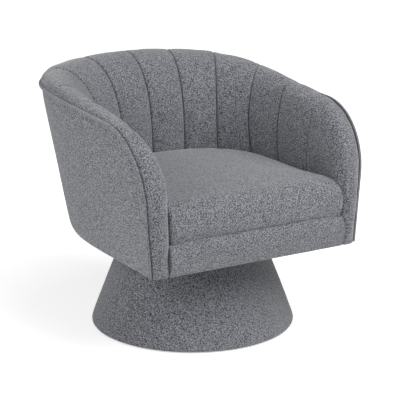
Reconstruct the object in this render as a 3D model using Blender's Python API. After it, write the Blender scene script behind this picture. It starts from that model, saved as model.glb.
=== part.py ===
"""Swivel accent chair: a barrel seat with a channelled inner back on an upholstered cone.

The chair stands on the floor at z = 0, faces -Y, and its body turns about the Z axis.
All sizes are in metres. Two empties carry the pieces: the fixed base and the turning seat.
"""
import math

import bmesh
import bpy
from mathutils import Matrix, Vector

# Clearance between neighbouring pieces
GAP = 0.0003

# Cone base
BASE_HEIGHT = 0.266
BASE_TOP_RADIUS = 0.1990
BASE_SPREAD = 0.0989
BASE_EDGE_RADIUS = 0.013
BASE_WELL = 0.0157
BASE_COVER_THICKNESS = 0.005
BASE_SKIN_THICKNESS = 0.004
BASE_HEM_WIDTH = 0.030
BASE_RIB_THICKNESS = 0.015
BOARD_THICKNESS = 0.018
BASE_HEM_LIFT = 0.003
BASE_LIP_RADIUS = 0.004
DUST_COVER_THICKNESS = 0.001
GLIDE_HEIGHT = 0.006
GLIDE_RADIUS = 0.013
GLIDE_INSET = 0.054
GLIDE_PIN_RADIUS = 0.0016
GLIDE_PIN_LENGTH = 0.012
GLIDE_COUNT = 4

# Swivel bearing
SWIVEL_HEIGHT = 0.0254
PLATE_HALF_WIDTH = 0.075
PLATE_THICKNESS = 0.0025
PLATE_CORNER = 0.012
RACE_RADIUS = 0.055
RACE_WIDTH = 0.018
BALL_RADIUS = 0.006
BALL_SEAT_DEPTH = 0.002
BALL_COUNT = 12
CAGE_THICKNESS = 0.0016
CAGE_WIDTH = 0.0096
PIVOT_RADIUS = 0.010
PIVOT_FLANGE = 0.006
PIVOT_WALL = 0.0015
PIVOT_BORE_CLEARANCE = 0.003
SCREW_RADIUS = 0.0024
SCREW_HEAD_RADIUS = 0.0055
SCREW_HEAD_HEIGHT = 0.003
SCREW_HEAD_FLAT = 0.6
SCREW_LENGTH = 0.015
SCREW_INSET = 0.0125

# Plan of the seat space and of the body round it
SEAT_HALF_WIDTH = 0.274
SEAT_DEPTH = 0.285
SEAT_SQUARENESS = 2.5
STRAIGHT_Y = -0.050
ARM_THICKNESS = 0.058
BACK_THICKNESS = 0.065
SIDE_FLARE = 0.077
BACK_RECLINE = 0.329
FOOT_SQUARENESS = 3.40
RIM_SQUARENESS = 3.95
ARM_LENGTH = 0.290

# Rim of the arms and back, where the piping runs
RIM_HEIGHT = 0.385
RIM_SLOPE = 0.060
ARM_CORNER = 0.190
PIPING_RADIUS = 0.0045
PIPING_SINK = 0.002
PIPING_TILT = 0.3
COVER_THICKNESS = 0.007
COVER_HEM_WIDTH = 0.030
REAR_TUCK = 0.008
REAR_TUCK_HEIGHT = 0.030
HEM_THICKNESS = 0.0017

# Padding of the inner back and arms
PAD_THICKNESS = 0.030
PAD_LEAN = 0.060
PAD_LEAN_FROM_WIDTH = 0.090
PAD_LEAN_FULL_WIDTH = 0.190
PAD_OVER_RAIL = 0.018
CHANNEL_BULGES = (0.012, 0.011, 0.008, 0.0055, 0.0035)
CHANNEL_ROUNDNESS = 0.50
CHANNEL_ROLL_SHARE = 0.30
SEAM_SHARES = (0.1803, 0.3522, 0.5476, 0.7532)
PANEL_Y = -0.186
FAN_BEND = 1.15
ARM_ROLL = 0.0085
BACK_ROLL = 0.050
ROLL_FALL = 0.85
ROLL_SQUARENESS = 2.35
ROLL_BACK_SET = 0.035
ROLL_CORNER_SET = 0.015
ROLL_CORNER_END = 0.7
ROLL_ARM_SHARE = 0.62
ROLL_FRONT_SHARE = 0.30
FRONT_ROLL = 0.023
FRONT_ROLL_DEPTH = 0.057
FRONT_RETURN = 0.065
FRONT_TURN_SHARE = 0.55
FRONT_LOW_SHARE = 0.60
PANEL_PIVOT_Z = 0.360
PANEL_PIVOT_RADIUS = 0.030

# Frame inside the body
SEAT_RAIL_HEIGHT = 0.0575
SEAT_RAIL_THICKNESS = 0.022
ARM_PLATE_THICKNESS = 0.012
TOP_RAIL_HEIGHT = 0.022
TOP_RAIL_WIDTH = 0.045
POST_WIDTH = 0.045
POST_THICKNESS = 0.030
POST_CLEARANCE = 0.004
POST_SHARE = 0.253

# Webbing, deck and cushion
STRAP_WIDTH = 0.050
STRAP_THICKNESS = 0.0015
STRAP_RAMP = 0.026
LONG_STRAPS = 4
CROSS_STRAPS = 2
CROSS_STRAP_MARGIN = 0.3
CROSS_STRAP_SET = 0.2
DECK_THICKNESS = 0.003
CUSHION_THICKNESS = 0.099
CUSHION_CROWN = 0.013
CUSHION_EDGE_RADIUS = 0.040
CUSHION_DRAW_IN = 0.006
CUSHION_SIDE_SHARE = 0.22
CUSHION_FRONT_BOW = 0.006
CUSHION_CORNER = 0.014
CUSHION_BELLY = 0.36

# Upholstered band below the cushion
BAND_THICKNESS = 0.028
BAND_SET = 0.012
BAND_LEAN = 0.010
BAND_DROP = 0.004
BAND_EDGE_RADIUS = 0.008
BAND_FULLNESS = 0.62

# Heights that follow from the stack of pieces
BOTTOM_BOARD_Z = GLIDE_HEIGHT + GAP
BASE_SKIN_Z = BASE_HEM_LIFT + BASE_EDGE_RADIUS
TOP_BOARD_TOP = BASE_HEIGHT - BASE_WELL
TOP_BOARD_Z = TOP_BOARD_TOP - BOARD_THICKNESS
SWIVEL_Z = TOP_BOARD_TOP + GAP
BALL_Z = SWIVEL_Z + SWIVEL_HEIGHT / 2
SEAT_BOARD_Z = SWIVEL_Z + SWIVEL_HEIGHT + GAP
SEAT_BOARD_TOP = SEAT_BOARD_Z + BOARD_THICKNESS
BODY_Z = SEAT_BOARD_Z - GAP - HEM_THICKNESS
FRAME_Z = SEAT_BOARD_TOP + GAP
SEAT_RAIL_TOP = FRAME_Z + SEAT_RAIL_HEIGHT
STRAP_Z = SEAT_RAIL_TOP + GAP
STRAP_LIFT = STRAP_THICKNESS + GAP
DECK_Z = STRAP_Z + STRAP_LIFT + STRAP_THICKNESS + GAP
CUSHION_Z = DECK_Z + DECK_THICKNESS + GAP
SEAT_Z = CUSHION_Z + CUSHION_THICKNESS
RIM_Z = BODY_Z + RIM_HEIGHT

# Plan sizes that follow from the ones above
FRONT_Y = STRAIGHT_Y - ARM_LENGTH
CORNER_Y = FRONT_Y + ARM_CORNER
OUTER_HALF_WIDTH = SEAT_HALF_WIDTH + ARM_THICKNESS
OUTER_DEPTH = SEAT_DEPTH + BACK_THICKNESS
INNER_FACE_INSET = CHANNEL_BULGES[0] + GAP
ARM_FACE_INSET = CHANNEL_BULGES[3] + 2 * GAP
COVER_INSET = COVER_THICKNESS + GAP
BAND_FOOT_Y = FRONT_Y - BAND_SET
BAND_TOP_Y = BAND_FOOT_Y - BAND_LEAN
RAIL_FRONT_Y = BAND_FOOT_Y + BAND_THICKNESS
NOTCH_X = SEAT_HALF_WIDTH - 2 * GAP
NOTCH_Y = FRONT_Y + FRONT_RETURN + GAP
EAR_X = SEAT_HALF_WIDTH + PAD_THICKNESS + 2 * GAP
EAR_Y = FRONT_Y + PAD_OVER_RAIL + GAP
ARM_HEM_WIDTH = OUTER_HALF_WIDTH - EAR_X
CONE_SLOPE = BASE_SPREAD / (BASE_HEIGHT - BASE_EDGE_RADIUS)
LONG_STRAP_PITCH = 2 * SEAT_HALF_WIDTH / (LONG_STRAPS + 1)
CROSS_STRAP_PITCH = (STRAIGHT_Y + SEAT_DEPTH - RAIL_FRONT_Y) / (2 * CROSS_STRAPS - CROSS_STRAP_MARGIN)
CROSS_STRAP_Y = STRAIGHT_Y - CROSS_STRAP_SET * CROSS_STRAP_PITCH

# Fineness of the faceted surfaces
ROUND_STEPS = 40
RACE_STEPS = 24
GLIDE_STEPS = 16
SMALL_STEPS = 10
CHANNEL_COLUMNS = 6
ROLL_STEPS = 9
PLAN_STEPS = 12
PIPING_SIDES = 8
FRONT_STEPS = 6
EDGE_STEPS = 5
PANEL_STEPS = 22
CORNER_STEPS = 8
SOFT_ANGLE = 70


def material(name, colour, roughness, metallic=0.0):
    """A plain Principled material."""
    made = bpy.data.materials.new(name)
    made.use_nodes = True
    shader = made.node_tree.nodes["Principled BSDF"]
    shader.inputs["Base Color"].default_value = (*colour, 1.0)
    shader.inputs["Roughness"].default_value = roughness
    shader.inputs["Metallic"].default_value = metallic
    made.diffuse_color = (*colour, 1.0)
    return made


def upholstery():
    return material("heathered_fabric", (0.21, 0.22, 0.24), 0.92)


def welt_fabric():
    return material("welt_fabric", (0.17, 0.18, 0.20), 0.92)


def plywood():
    return material("plywood", (0.62, 0.47, 0.30), 0.65)


def fibreboard():
    return material("fibreboard", (0.40, 0.29, 0.18), 0.80)


def timber():
    return material("timber", (0.70, 0.53, 0.33), 0.60)


def lining():
    return material("black_lining", (0.015, 0.015, 0.016), 0.95)


def webbing():
    return material("elastic_webbing", (0.10, 0.085, 0.07), 0.85)


def zinc_steel():
    return material("zinc_steel", (0.62, 0.63, 0.65), 0.35, 1.0)


def bearing_steel():
    return material("bearing_steel", (0.75, 0.75, 0.76), 0.18, 1.0)


def glide_plastic():
    return material("glide_plastic", (0.03, 0.03, 0.03), 0.45)


def loft(sections, closed=False):
    """A bmesh skinned over loops of equal length, with its ends capped or joined."""
    mesh = bmesh.new()
    rings = [[mesh.verts.new(point) for point in loop] for loop in sections]
    size = len(rings[0])
    pairs = list(zip(rings, rings[1:]))
    if closed:
        pairs.append((rings[-1], rings[0]))
    for near, far in pairs:
        for k in range(size):
            after = (k + 1) % size
            mesh.faces.new((near[k], near[after], far[after], far[k]))
    if not closed:
        mesh.faces.new(rings[0])
        mesh.faces.new(rings[-1])
    bmesh.ops.remove_doubles(mesh, verts=mesh.verts, dist=1e-6)
    bmesh.ops.dissolve_degenerate(mesh, edges=mesh.edges, dist=1e-6)
    bmesh.ops.recalc_face_normals(mesh, faces=mesh.faces)
    return mesh


def piece(name, mesh, finish, parent, location=(0, 0, 0), sharp_angle=35):
    """A named object made from a bmesh, carried by one of the two empties."""
    data = bpy.data.meshes.new(name)
    mesh.to_mesh(data)
    mesh.free()
    data.shade_smooth()
    data.set_sharp_from_angle(angle=math.radians(sharp_angle))
    made = bpy.data.objects.new(name, data)
    made.data.materials.append(finish)
    made.location = location
    made.parent = parent
    bpy.context.collection.objects.link(made)
    return made


def helper(name, mesh):
    """A hidden solid that a Boolean uses."""
    data = bpy.data.meshes.new(name)
    mesh.to_mesh(data)
    mesh.free()
    made = bpy.data.objects.new(name, data)
    made.hide_render = True
    made.display_type = "WIRE"
    bpy.context.collection.objects.link(made)
    return made


def combine(target, other, operation):
    """Adds an exact Boolean between two solids."""
    step = target.modifiers.new(other.name, "BOOLEAN")
    step.operation = operation
    step.solver = "EXACT"
    step.object = other


def prism(outline, low, high):
    """An upright solid over a plan outline."""
    return loft([[Vector((x, y, z)) for x, y in outline] for z in (low, high)])


def turned(profile, steps=ROUND_STEPS):
    """A solid of revolution about Z from a closed profile of (radius, height) points."""
    sections = []
    for k in range(steps):
        turn = math.tau * k / steps
        sections.append([Vector((r * math.cos(turn), r * math.sin(turn), z)) for r, z in profile])
    return loft(sections, closed=True)


def rods(places, radius, low, high, steps=SMALL_STEPS):
    """Round cutters that stand at the given places, in one mesh."""
    mesh = bmesh.new()
    for x, y in places:
        made = bmesh.ops.create_cone(
            mesh, cap_ends=True, segments=steps, radius1=radius, radius2=radius, depth=high - low
        )
        bmesh.ops.translate(mesh, verts=made["verts"], vec=(x, y, (low + high) / 2))
    return mesh


def arc(centre, radius, start, end, steps):
    """Points along an arc, with angles in degrees."""
    points = []
    for k in range(steps + 1):
        turn = math.radians(start + (end - start) * k / steps)
        points.append((centre[0] + radius * math.cos(turn), centre[1] + radius * math.sin(turn)))
    return points


def ease(share):
    """Smooth step from 0 to 1."""
    share = min(max(share, 0.0), 1.0)
    return share * share * (3 - 2 * share)


def mix(first, last, share):
    return first + (last - first) * share


def cone_radius(z):
    """Outer radius of the cone's cover at a height."""
    return BASE_TOP_RADIUS + (BASE_HEIGHT - z) * CONE_SLOPE


def curve_quarter(half_width, depth, steps=PLAN_STEPS):
    """Plan points from the arm's straight part to the middle of the back."""
    points = []
    for k in range(steps + 1):
        turn = math.pi / 2 * k / steps
        x = half_width * math.cos(turn) ** (2 / SEAT_SQUARENESS)
        y = depth * math.sin(turn) ** (2 / SEAT_SQUARENESS)
        points.append((x, STRAIGHT_Y + y))
    return points


def inner_line():
    """Fine points of the inner back and arm line with their distance from the back's middle."""
    points = curve_quarter(SEAT_HALF_WIDTH, SEAT_DEPTH, 240)[::-1]
    points.append((SEAT_HALF_WIDTH, FRONT_Y))
    reached = [0.0]
    for near, far in zip(points, points[1:]):
        reached.append(reached[-1] + math.dist(near, far))
    return points, reached


INNER_POINTS, INNER_REACHED = inner_line()
CURVE_END = INNER_REACHED[-2]
PANEL_START = CURVE_END + STRAIGHT_Y - PANEL_Y
SEAMS = [PANEL_START * share for share in (0.0, *SEAM_SHARES, 1.0)]


def inner_point(distance):
    """Plan point of the inner line at a distance from the back's middle."""
    for k in range(1, len(INNER_REACHED)):
        if distance <= INNER_REACHED[k] or k == len(INNER_REACHED) - 1:
            span = INNER_REACHED[k] - INNER_REACHED[k - 1]
            share = (distance - INNER_REACHED[k - 1]) / span
            near, far = INNER_POINTS[k - 1], INNER_POINTS[k]
            return mix(near[0], far[0], share), mix(near[1], far[1], share)


def outer_half_width(z):
    return OUTER_HALF_WIDTH + SIDE_FLARE * (z - BODY_Z)


def squareness(z):
    """Power of the body's plan curve at a height: rounder at the foot than at the rim."""
    return mix(FOOT_SQUARENESS, RIM_SQUARENESS, (z - BODY_Z) / RIM_HEIGHT)


def outer_reach(start, heading, z):
    """Level distance from a point to the outer surface along a heading, by halving."""
    half_width = outer_half_width(z)
    depth = OUTER_DEPTH + BACK_RECLINE * (z - BODY_Z)
    power = squareness(z)
    near, far = 0.0, half_width + depth
    for _ in range(40):
        middle = (near + far) / 2
        x = start.x + heading.x * middle
        y = max(0.0, start.y + heading.y * middle - STRAIGHT_Y)
        if (abs(x) / half_width) ** power + (y / depth) ** power < 1:
            near = middle
        else:
            far = middle
    return near


def outer_normal(x, y, z):
    """Horizontal direction square to the outer surface at a place on it."""
    power = squareness(z) - 1
    half_width = outer_half_width(z)
    depth = OUTER_DEPTH + BACK_RECLINE * (z - BODY_Z)
    behind = max(0.0, y - STRAIGHT_Y)
    sideways = (abs(x) / half_width) ** power / half_width
    backward = (behind / depth) ** power / depth
    return Vector((math.copysign(sideways, x), backward, 0)).normalized()


def rim_height(y):
    """Height of the rim at a place along the chair, with the front corner of the arm."""
    if y >= CORNER_Y:
        return RIM_Z + RIM_SLOPE * (y - CORNER_Y)
    fall = min(CORNER_Y - y, ARM_CORNER)
    return RIM_Z - ARM_CORNER + math.sqrt(ARM_CORNER ** 2 - fall ** 2)


class Station:
    """One cross-section through the padding.

    across points from the seat outward, up points from the seat level to the rim, and
    base is the point on the inner face where the roll of the padding starts.
    """

    def __init__(self, base, across, up, rise, below, share=1.0):
        self.base = base
        self.across = across
        self.up = up
        self.rise = rise
        self.below = below
        self.foot_reach = outer_reach(base, across, BODY_Z)
        self.flare = (outer_reach(base, across, RIM_Z) - self.foot_reach) / (RIM_Z - BODY_Z)
        self.width = self.reach(rise)
        rim = self.place(self.width, rise)
        self.normal = outer_normal(rim.x, rim.y, rim.z)
        self.slant = 1 / max(across.dot(self.normal), 0.5)
        self.backness = (1 - share) ** ROLL_FALL
        self.corner = ROLL_CORNER_SET * math.sin(math.pi * min(share / ROLL_CORNER_END, 1.0)) ** 2
        self.tuck = REAR_TUCK * ease(2 - 2 * ease(share))

    def place(self, out, high):
        return self.base + self.across * out + self.up * high

    def reach(self, high):
        """Distance from the inner face to the outer surface at a height above the base."""
        return self.foot_reach + self.flare * (self.base.z + self.up.z * high - BODY_Z)

    def inside(self, high, inset):
        """Distance from the inner face to a surface that lies inset within the outer one."""
        above = self.base.z + self.up.z * high - BODY_Z
        draw = max(0.0, 1 - above / REAR_TUCK_HEIGHT) ** 2 * self.tuck
        return self.reach(high) - (inset + draw) * self.slant

    def crest(self):
        """Place of the highest point of the roll."""
        out = max(self.width * ROLL_ARM_SHARE, self.width - ROLL_BACK_SET - self.corner)
        return out, self.rise + mix(ARM_ROLL, BACK_ROLL, self.backness)

    def back_line(self, high):
        """Distance of the padding's back from the inner face at a height."""
        share = (high + self.below) / (self.rise + self.below)
        extra = (self.width - PAD_LEAN_FROM_WIDTH) / (PAD_LEAN_FULL_WIDTH - PAD_LEAN_FROM_WIDTH)
        return PAD_THICKNESS + PAD_LEAN * share * ease(extra)

    def front_curve(self, bulge):
        """Points of the face, from its foot over the crest to the piping."""
        crest_out, crest_high = self.crest()
        power = 2 / ROLL_SQUARENESS
        edge_out = self.inside(self.rise, COVER_INSET + GAP)
        points = [(-bulge, -self.below), (-bulge, -self.below / 2)]
        for k in range(ROLL_STEPS + 1):
            turn = math.pi / 2 * k / ROLL_STEPS
            out = crest_out * (1 - math.cos(turn) ** power)
            high = crest_high * math.sin(turn) ** power
            lift = bulge * mix(1.0, CHANNEL_ROLL_SHARE, k / ROLL_STEPS)
            points.append((out - lift * math.cos(turn), high + lift * math.sin(turn)))
        steps = ROLL_STEPS // 2 + 1
        for k in range(1, steps + 1):
            turn = math.pi / 2 * k / steps
            out = mix(crest_out, edge_out, math.sin(turn))
            high = mix(crest_high, self.rise, 1 - math.cos(turn))
            lift = bulge * CHANNEL_ROLL_SHARE * (1 - k / steps)
            points.append((out + lift * math.sin(turn), high + lift * math.cos(turn)))
        return points

    def pad_loop(self, bulge):
        """Closed outline of the padding in this section."""
        rail_high = self.rise - PAD_OVER_RAIL
        points = self.front_curve(bulge)
        points.append((self.inside(rail_high, COVER_INSET), rail_high))
        points.append((self.back_line(rail_high), rail_high))
        points.append((self.back_line(0.0), 0.0))
        points.append((self.back_line(-self.below), -self.below))
        return [self.place(out, high) for out, high in points]

    def rim_point(self, inset):
        """Point of the rim, drawn in square to the outer surface."""
        return self.place(self.width, self.rise) - self.normal * inset


class FrontStation(Station):
    """A cross-section through the front of the arm, where the roll turns down and flattens."""

    def __init__(self, base, across, up, rise, below, frontness):
        super().__init__(base, across, up, rise, below)
        self.frontness = frontness

    def crest(self):
        out = self.width * mix(ROLL_ARM_SHARE, ROLL_FRONT_SHARE, self.frontness)
        return out, self.rise + mix(ARM_ROLL, FRONT_ROLL, self.frontness)


def fan_heading(distance):
    """Plan direction of a section: straight back in the middle, sideways at the arms."""
    turn = math.pi / 2 * (min(distance, PANEL_START) / PANEL_START) ** FAN_BEND
    return Vector((math.sin(turn), math.cos(turn), 0.0))


def fan_distances(limit):
    """Distances of the sections along the inner line, closer together beside the seams."""
    distances = [0.0]
    for near, far in zip(SEAMS, SEAMS[1:]):
        for k in range(1, CHANNEL_COLUMNS + 1):
            distances.append(mix(near, far, (1 - math.cos(math.pi * k / CHANNEL_COLUMNS)) / 2))
    return [distance for distance in distances if distance < limit - GAP] + [limit]


def back_station(distance):
    """Section on the back or the arm at a distance along the inner line."""
    base = Vector((*inner_point(distance), SEAT_Z))
    across = fan_heading(distance)
    share = min(distance / PANEL_START, 1.0)
    rise = RIM_Z - SEAT_Z
    for _ in range(8):
        made = Station(base, across, Vector((0, 0, 1)), rise, SEAT_Z - FRAME_Z, share)
        rise = rim_height(made.place(made.width, 0).y) - SEAT_Z
    return made


def panel_station(share):
    """Section through the front of the arm, from the last seam (0) to the underside (1)."""
    start_turn = math.asin((CORNER_Y - PANEL_Y + GAP) / ARM_CORNER)
    corner_run = (math.pi / 2 - start_turn) * ARM_CORNER
    upright_run = RIM_Z - ARM_CORNER - BODY_Z
    run = share * (corner_run + upright_run)
    if run <= corner_run:
        turn = start_turn + run / ARM_CORNER
        y = CORNER_Y - ARM_CORNER * math.sin(turn)
        z = RIM_Z - ARM_CORNER + ARM_CORNER * math.cos(turn)
    else:
        y = FRONT_Y
        z = RIM_Z - ARM_CORNER - (run - corner_run)
    pivot = Vector((SEAT_HALF_WIDTH, PANEL_Y - GAP, min(z, PANEL_PIVOT_Z)))
    rim = Vector((SEAT_HALF_WIDTH, y, z))
    up = (rim - pivot).normalized()
    length = (rim - pivot).length
    start_rise = rim_height(PANEL_Y) - SEAT_Z
    frontness = ease(share / FRONT_TURN_SHARE)
    rise = mix(start_rise, FRONT_ROLL_DEPTH, frontness)
    depth = length - PANEL_PIVOT_RADIUS
    if z < PANEL_PIVOT_Z:
        low_share = (PANEL_PIVOT_Z - z) / (PANEL_PIVOT_Z - FRAME_Z) / FRONT_LOW_SHARE
        depth = mix(depth, FRONT_RETURN - GAP, min(low_share, 1.0))
    return FrontStation(rim - up * rise, Vector((1, 0, 0)), up, rise, depth - rise, frontness)


def mirrored(loop, side):
    return [Vector((point.x * side, point.y, point.z)) for point in loop]


def base_cover(finish, parent):
    """Padded sleeve of the cone: hem under the base, round lower edge, lip over the well."""
    low = BASE_HEM_LIFT
    wide = cone_radius(low + BASE_EDGE_RADIUS)
    thick = BASE_COVER_THICKNESS
    lip = BASE_LIP_RADIUS
    inner = thick + GAP
    profile = [(wide - BASE_HEM_WIDTH, low)]
    profile += arc((wide - BASE_EDGE_RADIUS, low + BASE_EDGE_RADIUS), BASE_EDGE_RADIUS, -90, 0, 4)
    profile += arc((BASE_TOP_RADIUS - lip, BASE_HEIGHT - lip), lip, 0, 90, 2)
    well = cone_radius(BASE_HEIGHT) - 2 * inner - BASE_SKIN_THICKNESS
    profile += [(well, BASE_HEIGHT), (well, TOP_BOARD_TOP + GAP)]
    profile += [(well + thick, TOP_BOARD_TOP + GAP), (well + thick, BASE_HEIGHT - thick)]
    profile += [(cone_radius(BASE_HEIGHT - thick) - thick, BASE_HEIGHT - thick)]
    fold = BASE_SKIN_Z - GAP
    edge = bottom_board_radius() + GAP
    profile += [(cone_radius(fold) - thick, fold), (edge, fold), (edge, BOTTOM_BOARD_Z - GAP)]
    profile += [(wide - BASE_HEM_WIDTH, BOTTOM_BOARD_Z - GAP)]
    return piece("base_cover", turned(profile), finish, parent)


def skin_radius(z):
    """Inner radius of the fibreboard cone at a height."""
    return cone_radius(z) - BASE_COVER_THICKNESS - BASE_SKIN_THICKNESS - GAP


def bottom_board_radius():
    return skin_radius(BOTTOM_BOARD_Z + BOARD_THICKNESS) - GAP


def base_skin(finish, parent):
    """Fibreboard cone, stapled to the edges of the two round boards."""
    high = BASE_HEIGHT - BASE_COVER_THICKNESS - GAP
    low = BASE_SKIN_Z
    outer = BASE_COVER_THICKNESS + GAP
    profile = [(skin_radius(low), low), (cone_radius(low) - outer, low)]
    profile += [(cone_radius(high) - outer, high), (skin_radius(high), high)]
    return piece("base_skin", turned(profile), finish, parent)


def glide_places():
    radius = cone_radius(0) - GLIDE_INSET
    turns = [math.tau * (k + 0.5) / GLIDE_COUNT for k in range(GLIDE_COUNT)]
    return [(radius * math.cos(turn), radius * math.sin(turn)) for turn in turns]


def screw_places():
    reach = PLATE_HALF_WIDTH - SCREW_INSET
    return [(reach, reach), (-reach, reach), (-reach, -reach), (reach, -reach)]


def base_bottom_board(finish, parent):
    radius = bottom_board_radius()
    high = BOTTOM_BOARD_Z + BOARD_THICKNESS
    profile = [(0, BOTTOM_BOARD_Z), (radius, BOTTOM_BOARD_Z), (radius, high), (0, high)]
    board = piece("base_bottom_board", turned(profile), finish, parent)
    pins = rods(glide_places(), GLIDE_PIN_RADIUS + GAP, BOTTOM_BOARD_Z - GAP,
                GLIDE_HEIGHT + GLIDE_PIN_LENGTH + GAP)
    combine(board, helper("glide_pin_holes", pins), "DIFFERENCE")


def base_top_board(finish, parent):
    radius = skin_radius(TOP_BOARD_TOP) - GAP
    bore = PIVOT_RADIUS + PIVOT_FLANGE + PIVOT_BORE_CLEARANCE
    profile = [(bore, TOP_BOARD_Z), (radius, TOP_BOARD_Z), (radius, TOP_BOARD_TOP)]
    profile += [(bore, TOP_BOARD_TOP)]
    board = piece("base_top_board", turned(profile), finish, parent)
    holes = rods(screw_places(), SCREW_RADIUS + GAP, TOP_BOARD_Z - GAP, TOP_BOARD_TOP + GAP)
    combine(board, helper("top_board_screw_holes", holes), "DIFFERENCE")


def base_ribs(finish, parent):
    """Two tapered boards on edge that cross with a half-lap joint."""
    low = BOTTOM_BOARD_Z + BOARD_THICKNESS + GAP
    high = TOP_BOARD_Z - GAP
    middle = (low + high) / 2
    slot = BASE_RIB_THICKNESS / 2 + GAP
    half = BASE_RIB_THICKNESS / 2
    foot = skin_radius(low) - 4 * GAP
    head = skin_radius(high) - 4 * GAP
    ends = ((foot, low), (head, high))
    for name, turn, (near, far), depth in (
            ("base_rib_cross", 0, ends[::-1], middle - GAP), ("base_rib_long", 90, ends, middle)):
        wide, edge = near
        outline = [(slot, edge), (slot, depth), (-slot, depth), (-slot, edge), (-wide, edge)]
        outline += [(-far[0], far[1]), far, near]
        spin = Matrix.Rotation(math.radians(turn), 3, "Z")
        sections = [[spin @ Vector((a, side, z)) for a, z in outline] for side in (-half, half)]
        piece(name, loft(sections), finish, parent)


def base_dust_cover(finish, parent):
    """Thin black cloth under the base, with holes round the glides."""
    radius = cone_radius(BASE_HEM_LIFT + BASE_EDGE_RADIUS) - BASE_HEM_WIDTH - GAP
    high = BOTTOM_BOARD_Z - GAP
    low = high - DUST_COVER_THICKNESS
    cloth = piece("base_dust_cover", turned([(0, low), (radius, low), (radius, high), (0, high)]),
                  finish, parent)
    holes = rods(glide_places(), GLIDE_RADIUS + GAP, low - GAP, high + GAP, GLIDE_STEPS)
    combine(cloth, helper("glide_holes", holes), "DIFFERENCE")


def glides(finish, parent):
    """Plastic glides, each nailed into the bottom board by its own pin."""
    lip = GLIDE_RADIUS / 6
    pin_top = GLIDE_HEIGHT + GLIDE_PIN_LENGTH
    profile = [(0, 0), (GLIDE_RADIUS - lip, 0), (GLIDE_RADIUS, lip), (GLIDE_RADIUS, GLIDE_HEIGHT)]
    profile += [(GLIDE_PIN_RADIUS, GLIDE_HEIGHT), (GLIDE_PIN_RADIUS, pin_top - GLIDE_PIN_RADIUS)]
    profile += [(0, pin_top)]
    for k, (x, y) in enumerate(glide_places(), 1):
        piece(f"glide_{k}", turned(profile, GLIDE_STEPS), finish, parent, (x, y, 0))


def race_profile():
    """Half of a race: a ring with a round groove, seen from the plate's face upward."""
    depth = BALL_Z - SWIVEL_Z - BALL_RADIUS + BALL_SEAT_DEPTH
    groove = BALL_RADIUS + GAP
    half_angle = math.degrees(math.acos((BALL_RADIUS - BALL_SEAT_DEPTH) / groove))
    low = PLATE_THICKNESS / 2
    centre = (RACE_RADIUS, SWIVEL_HEIGHT / 2)
    profile = [(RACE_RADIUS + RACE_WIDTH / 2, low), (RACE_RADIUS + RACE_WIDTH / 2, depth)]
    profile += arc(centre, groove, -90 + half_angle, -90 - half_angle, 4)
    profile += [(RACE_RADIUS - RACE_WIDTH / 2, depth), (RACE_RADIUS - RACE_WIDTH / 2, low)]
    return profile


def swivel_plate(name, finish, parent, upper):
    """Square pressed plate with its ball race; the upper one faces down."""
    def at(height):
        return SWIVEL_Z + (SWIVEL_HEIGHT - height if upper else height)

    outline = []
    reach = PLATE_HALF_WIDTH - PLATE_CORNER
    for k, (x, y) in enumerate(((1, 1), (-1, 1), (-1, -1), (1, -1))):
        outline += arc((x * reach, y * reach), PLATE_CORNER, 90 * k, 90 * k + 90, 5)
    faces = sorted((at(0), at(PLATE_THICKNESS)))
    plate = piece(name, prism(outline, *faces), finish, parent)
    race = turned([(r, at(z)) for r, z in race_profile()], RACE_STEPS)
    combine(plate, helper(f"{name}_race", race), "UNION")
    low, high = faces[0] - GAP, faces[1] + GAP
    holes = rods(screw_places(), SCREW_RADIUS + GAP, low, high)
    combine(plate, helper(f"{name}_screw_holes", holes), "DIFFERENCE")
    bore = rods([(0, 0)], PIVOT_RADIUS + GAP, low, high, GLIDE_STEPS)
    combine(plate, helper(f"{name}_bore", bore), "DIFFERENCE")


def ball_ring(finish, parent):
    """The balls in their cage ring."""
    half = CAGE_THICKNESS / 2
    near = RACE_RADIUS - CAGE_WIDTH / 2
    far = RACE_RADIUS + CAGE_WIDTH / 2
    profile = [(near, BALL_Z - half), (far, BALL_Z - half), (far, BALL_Z + half)]
    cage = piece("ball_ring", turned(profile + [(near, BALL_Z + half)], RACE_STEPS), finish, parent)
    balls = bmesh.new()
    for k in range(BALL_COUNT):
        turn = math.tau * k / BALL_COUNT
        made = bmesh.ops.create_uvsphere(balls, u_segments=8, v_segments=6, radius=BALL_RADIUS)
        place = (RACE_RADIUS * math.cos(turn), RACE_RADIUS * math.sin(turn), BALL_Z)
        bmesh.ops.translate(balls, verts=made["verts"], vec=place)
    combine(cage, helper("balls", balls), "UNION")


def swivel_pivot(finish, parent):
    """Hollow rivet that holds the two plates together."""
    low = SWIVEL_Z - GAP
    high = SWIVEL_Z + SWIVEL_HEIGHT + GAP
    wide = PIVOT_RADIUS + PIVOT_FLANGE
    bore = PIVOT_RADIUS - PIVOT_WALL
    profile = [(bore, low - PIVOT_WALL), (wide, low - PIVOT_WALL), (wide, low)]
    profile += [(PIVOT_RADIUS, low), (PIVOT_RADIUS, high), (wide, high)]
    profile += [(wide, high + PIVOT_WALL), (bore, high + PIVOT_WALL)]
    piece("swivel_pivot", turned(profile, GLIDE_STEPS), finish, parent)


def plate_screws(stem, finish, parent, face_z, sense):
    """Pan-head screws through a plate; sense is -1 where they point down."""
    head = SCREW_HEAD_HEIGHT
    rim = SCREW_HEAD_RADIUS
    point = SCREW_LENGTH
    profile = [(0, -head), (rim * SCREW_HEAD_FLAT, -head), (rim, -head * (1 - SCREW_HEAD_FLAT))]
    profile += [(rim, -GAP)]
    profile += [(SCREW_RADIUS, -GAP), (SCREW_RADIUS, point - SCREW_RADIUS * 2), (0, point)]
    profile = [(r, sense * z) for r, z in profile]
    for k, (x, y) in enumerate(screw_places(), 1):
        piece(f"{stem}_{k}", turned(profile, SMALL_STEPS), finish, parent, (x, y, face_z))


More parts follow.
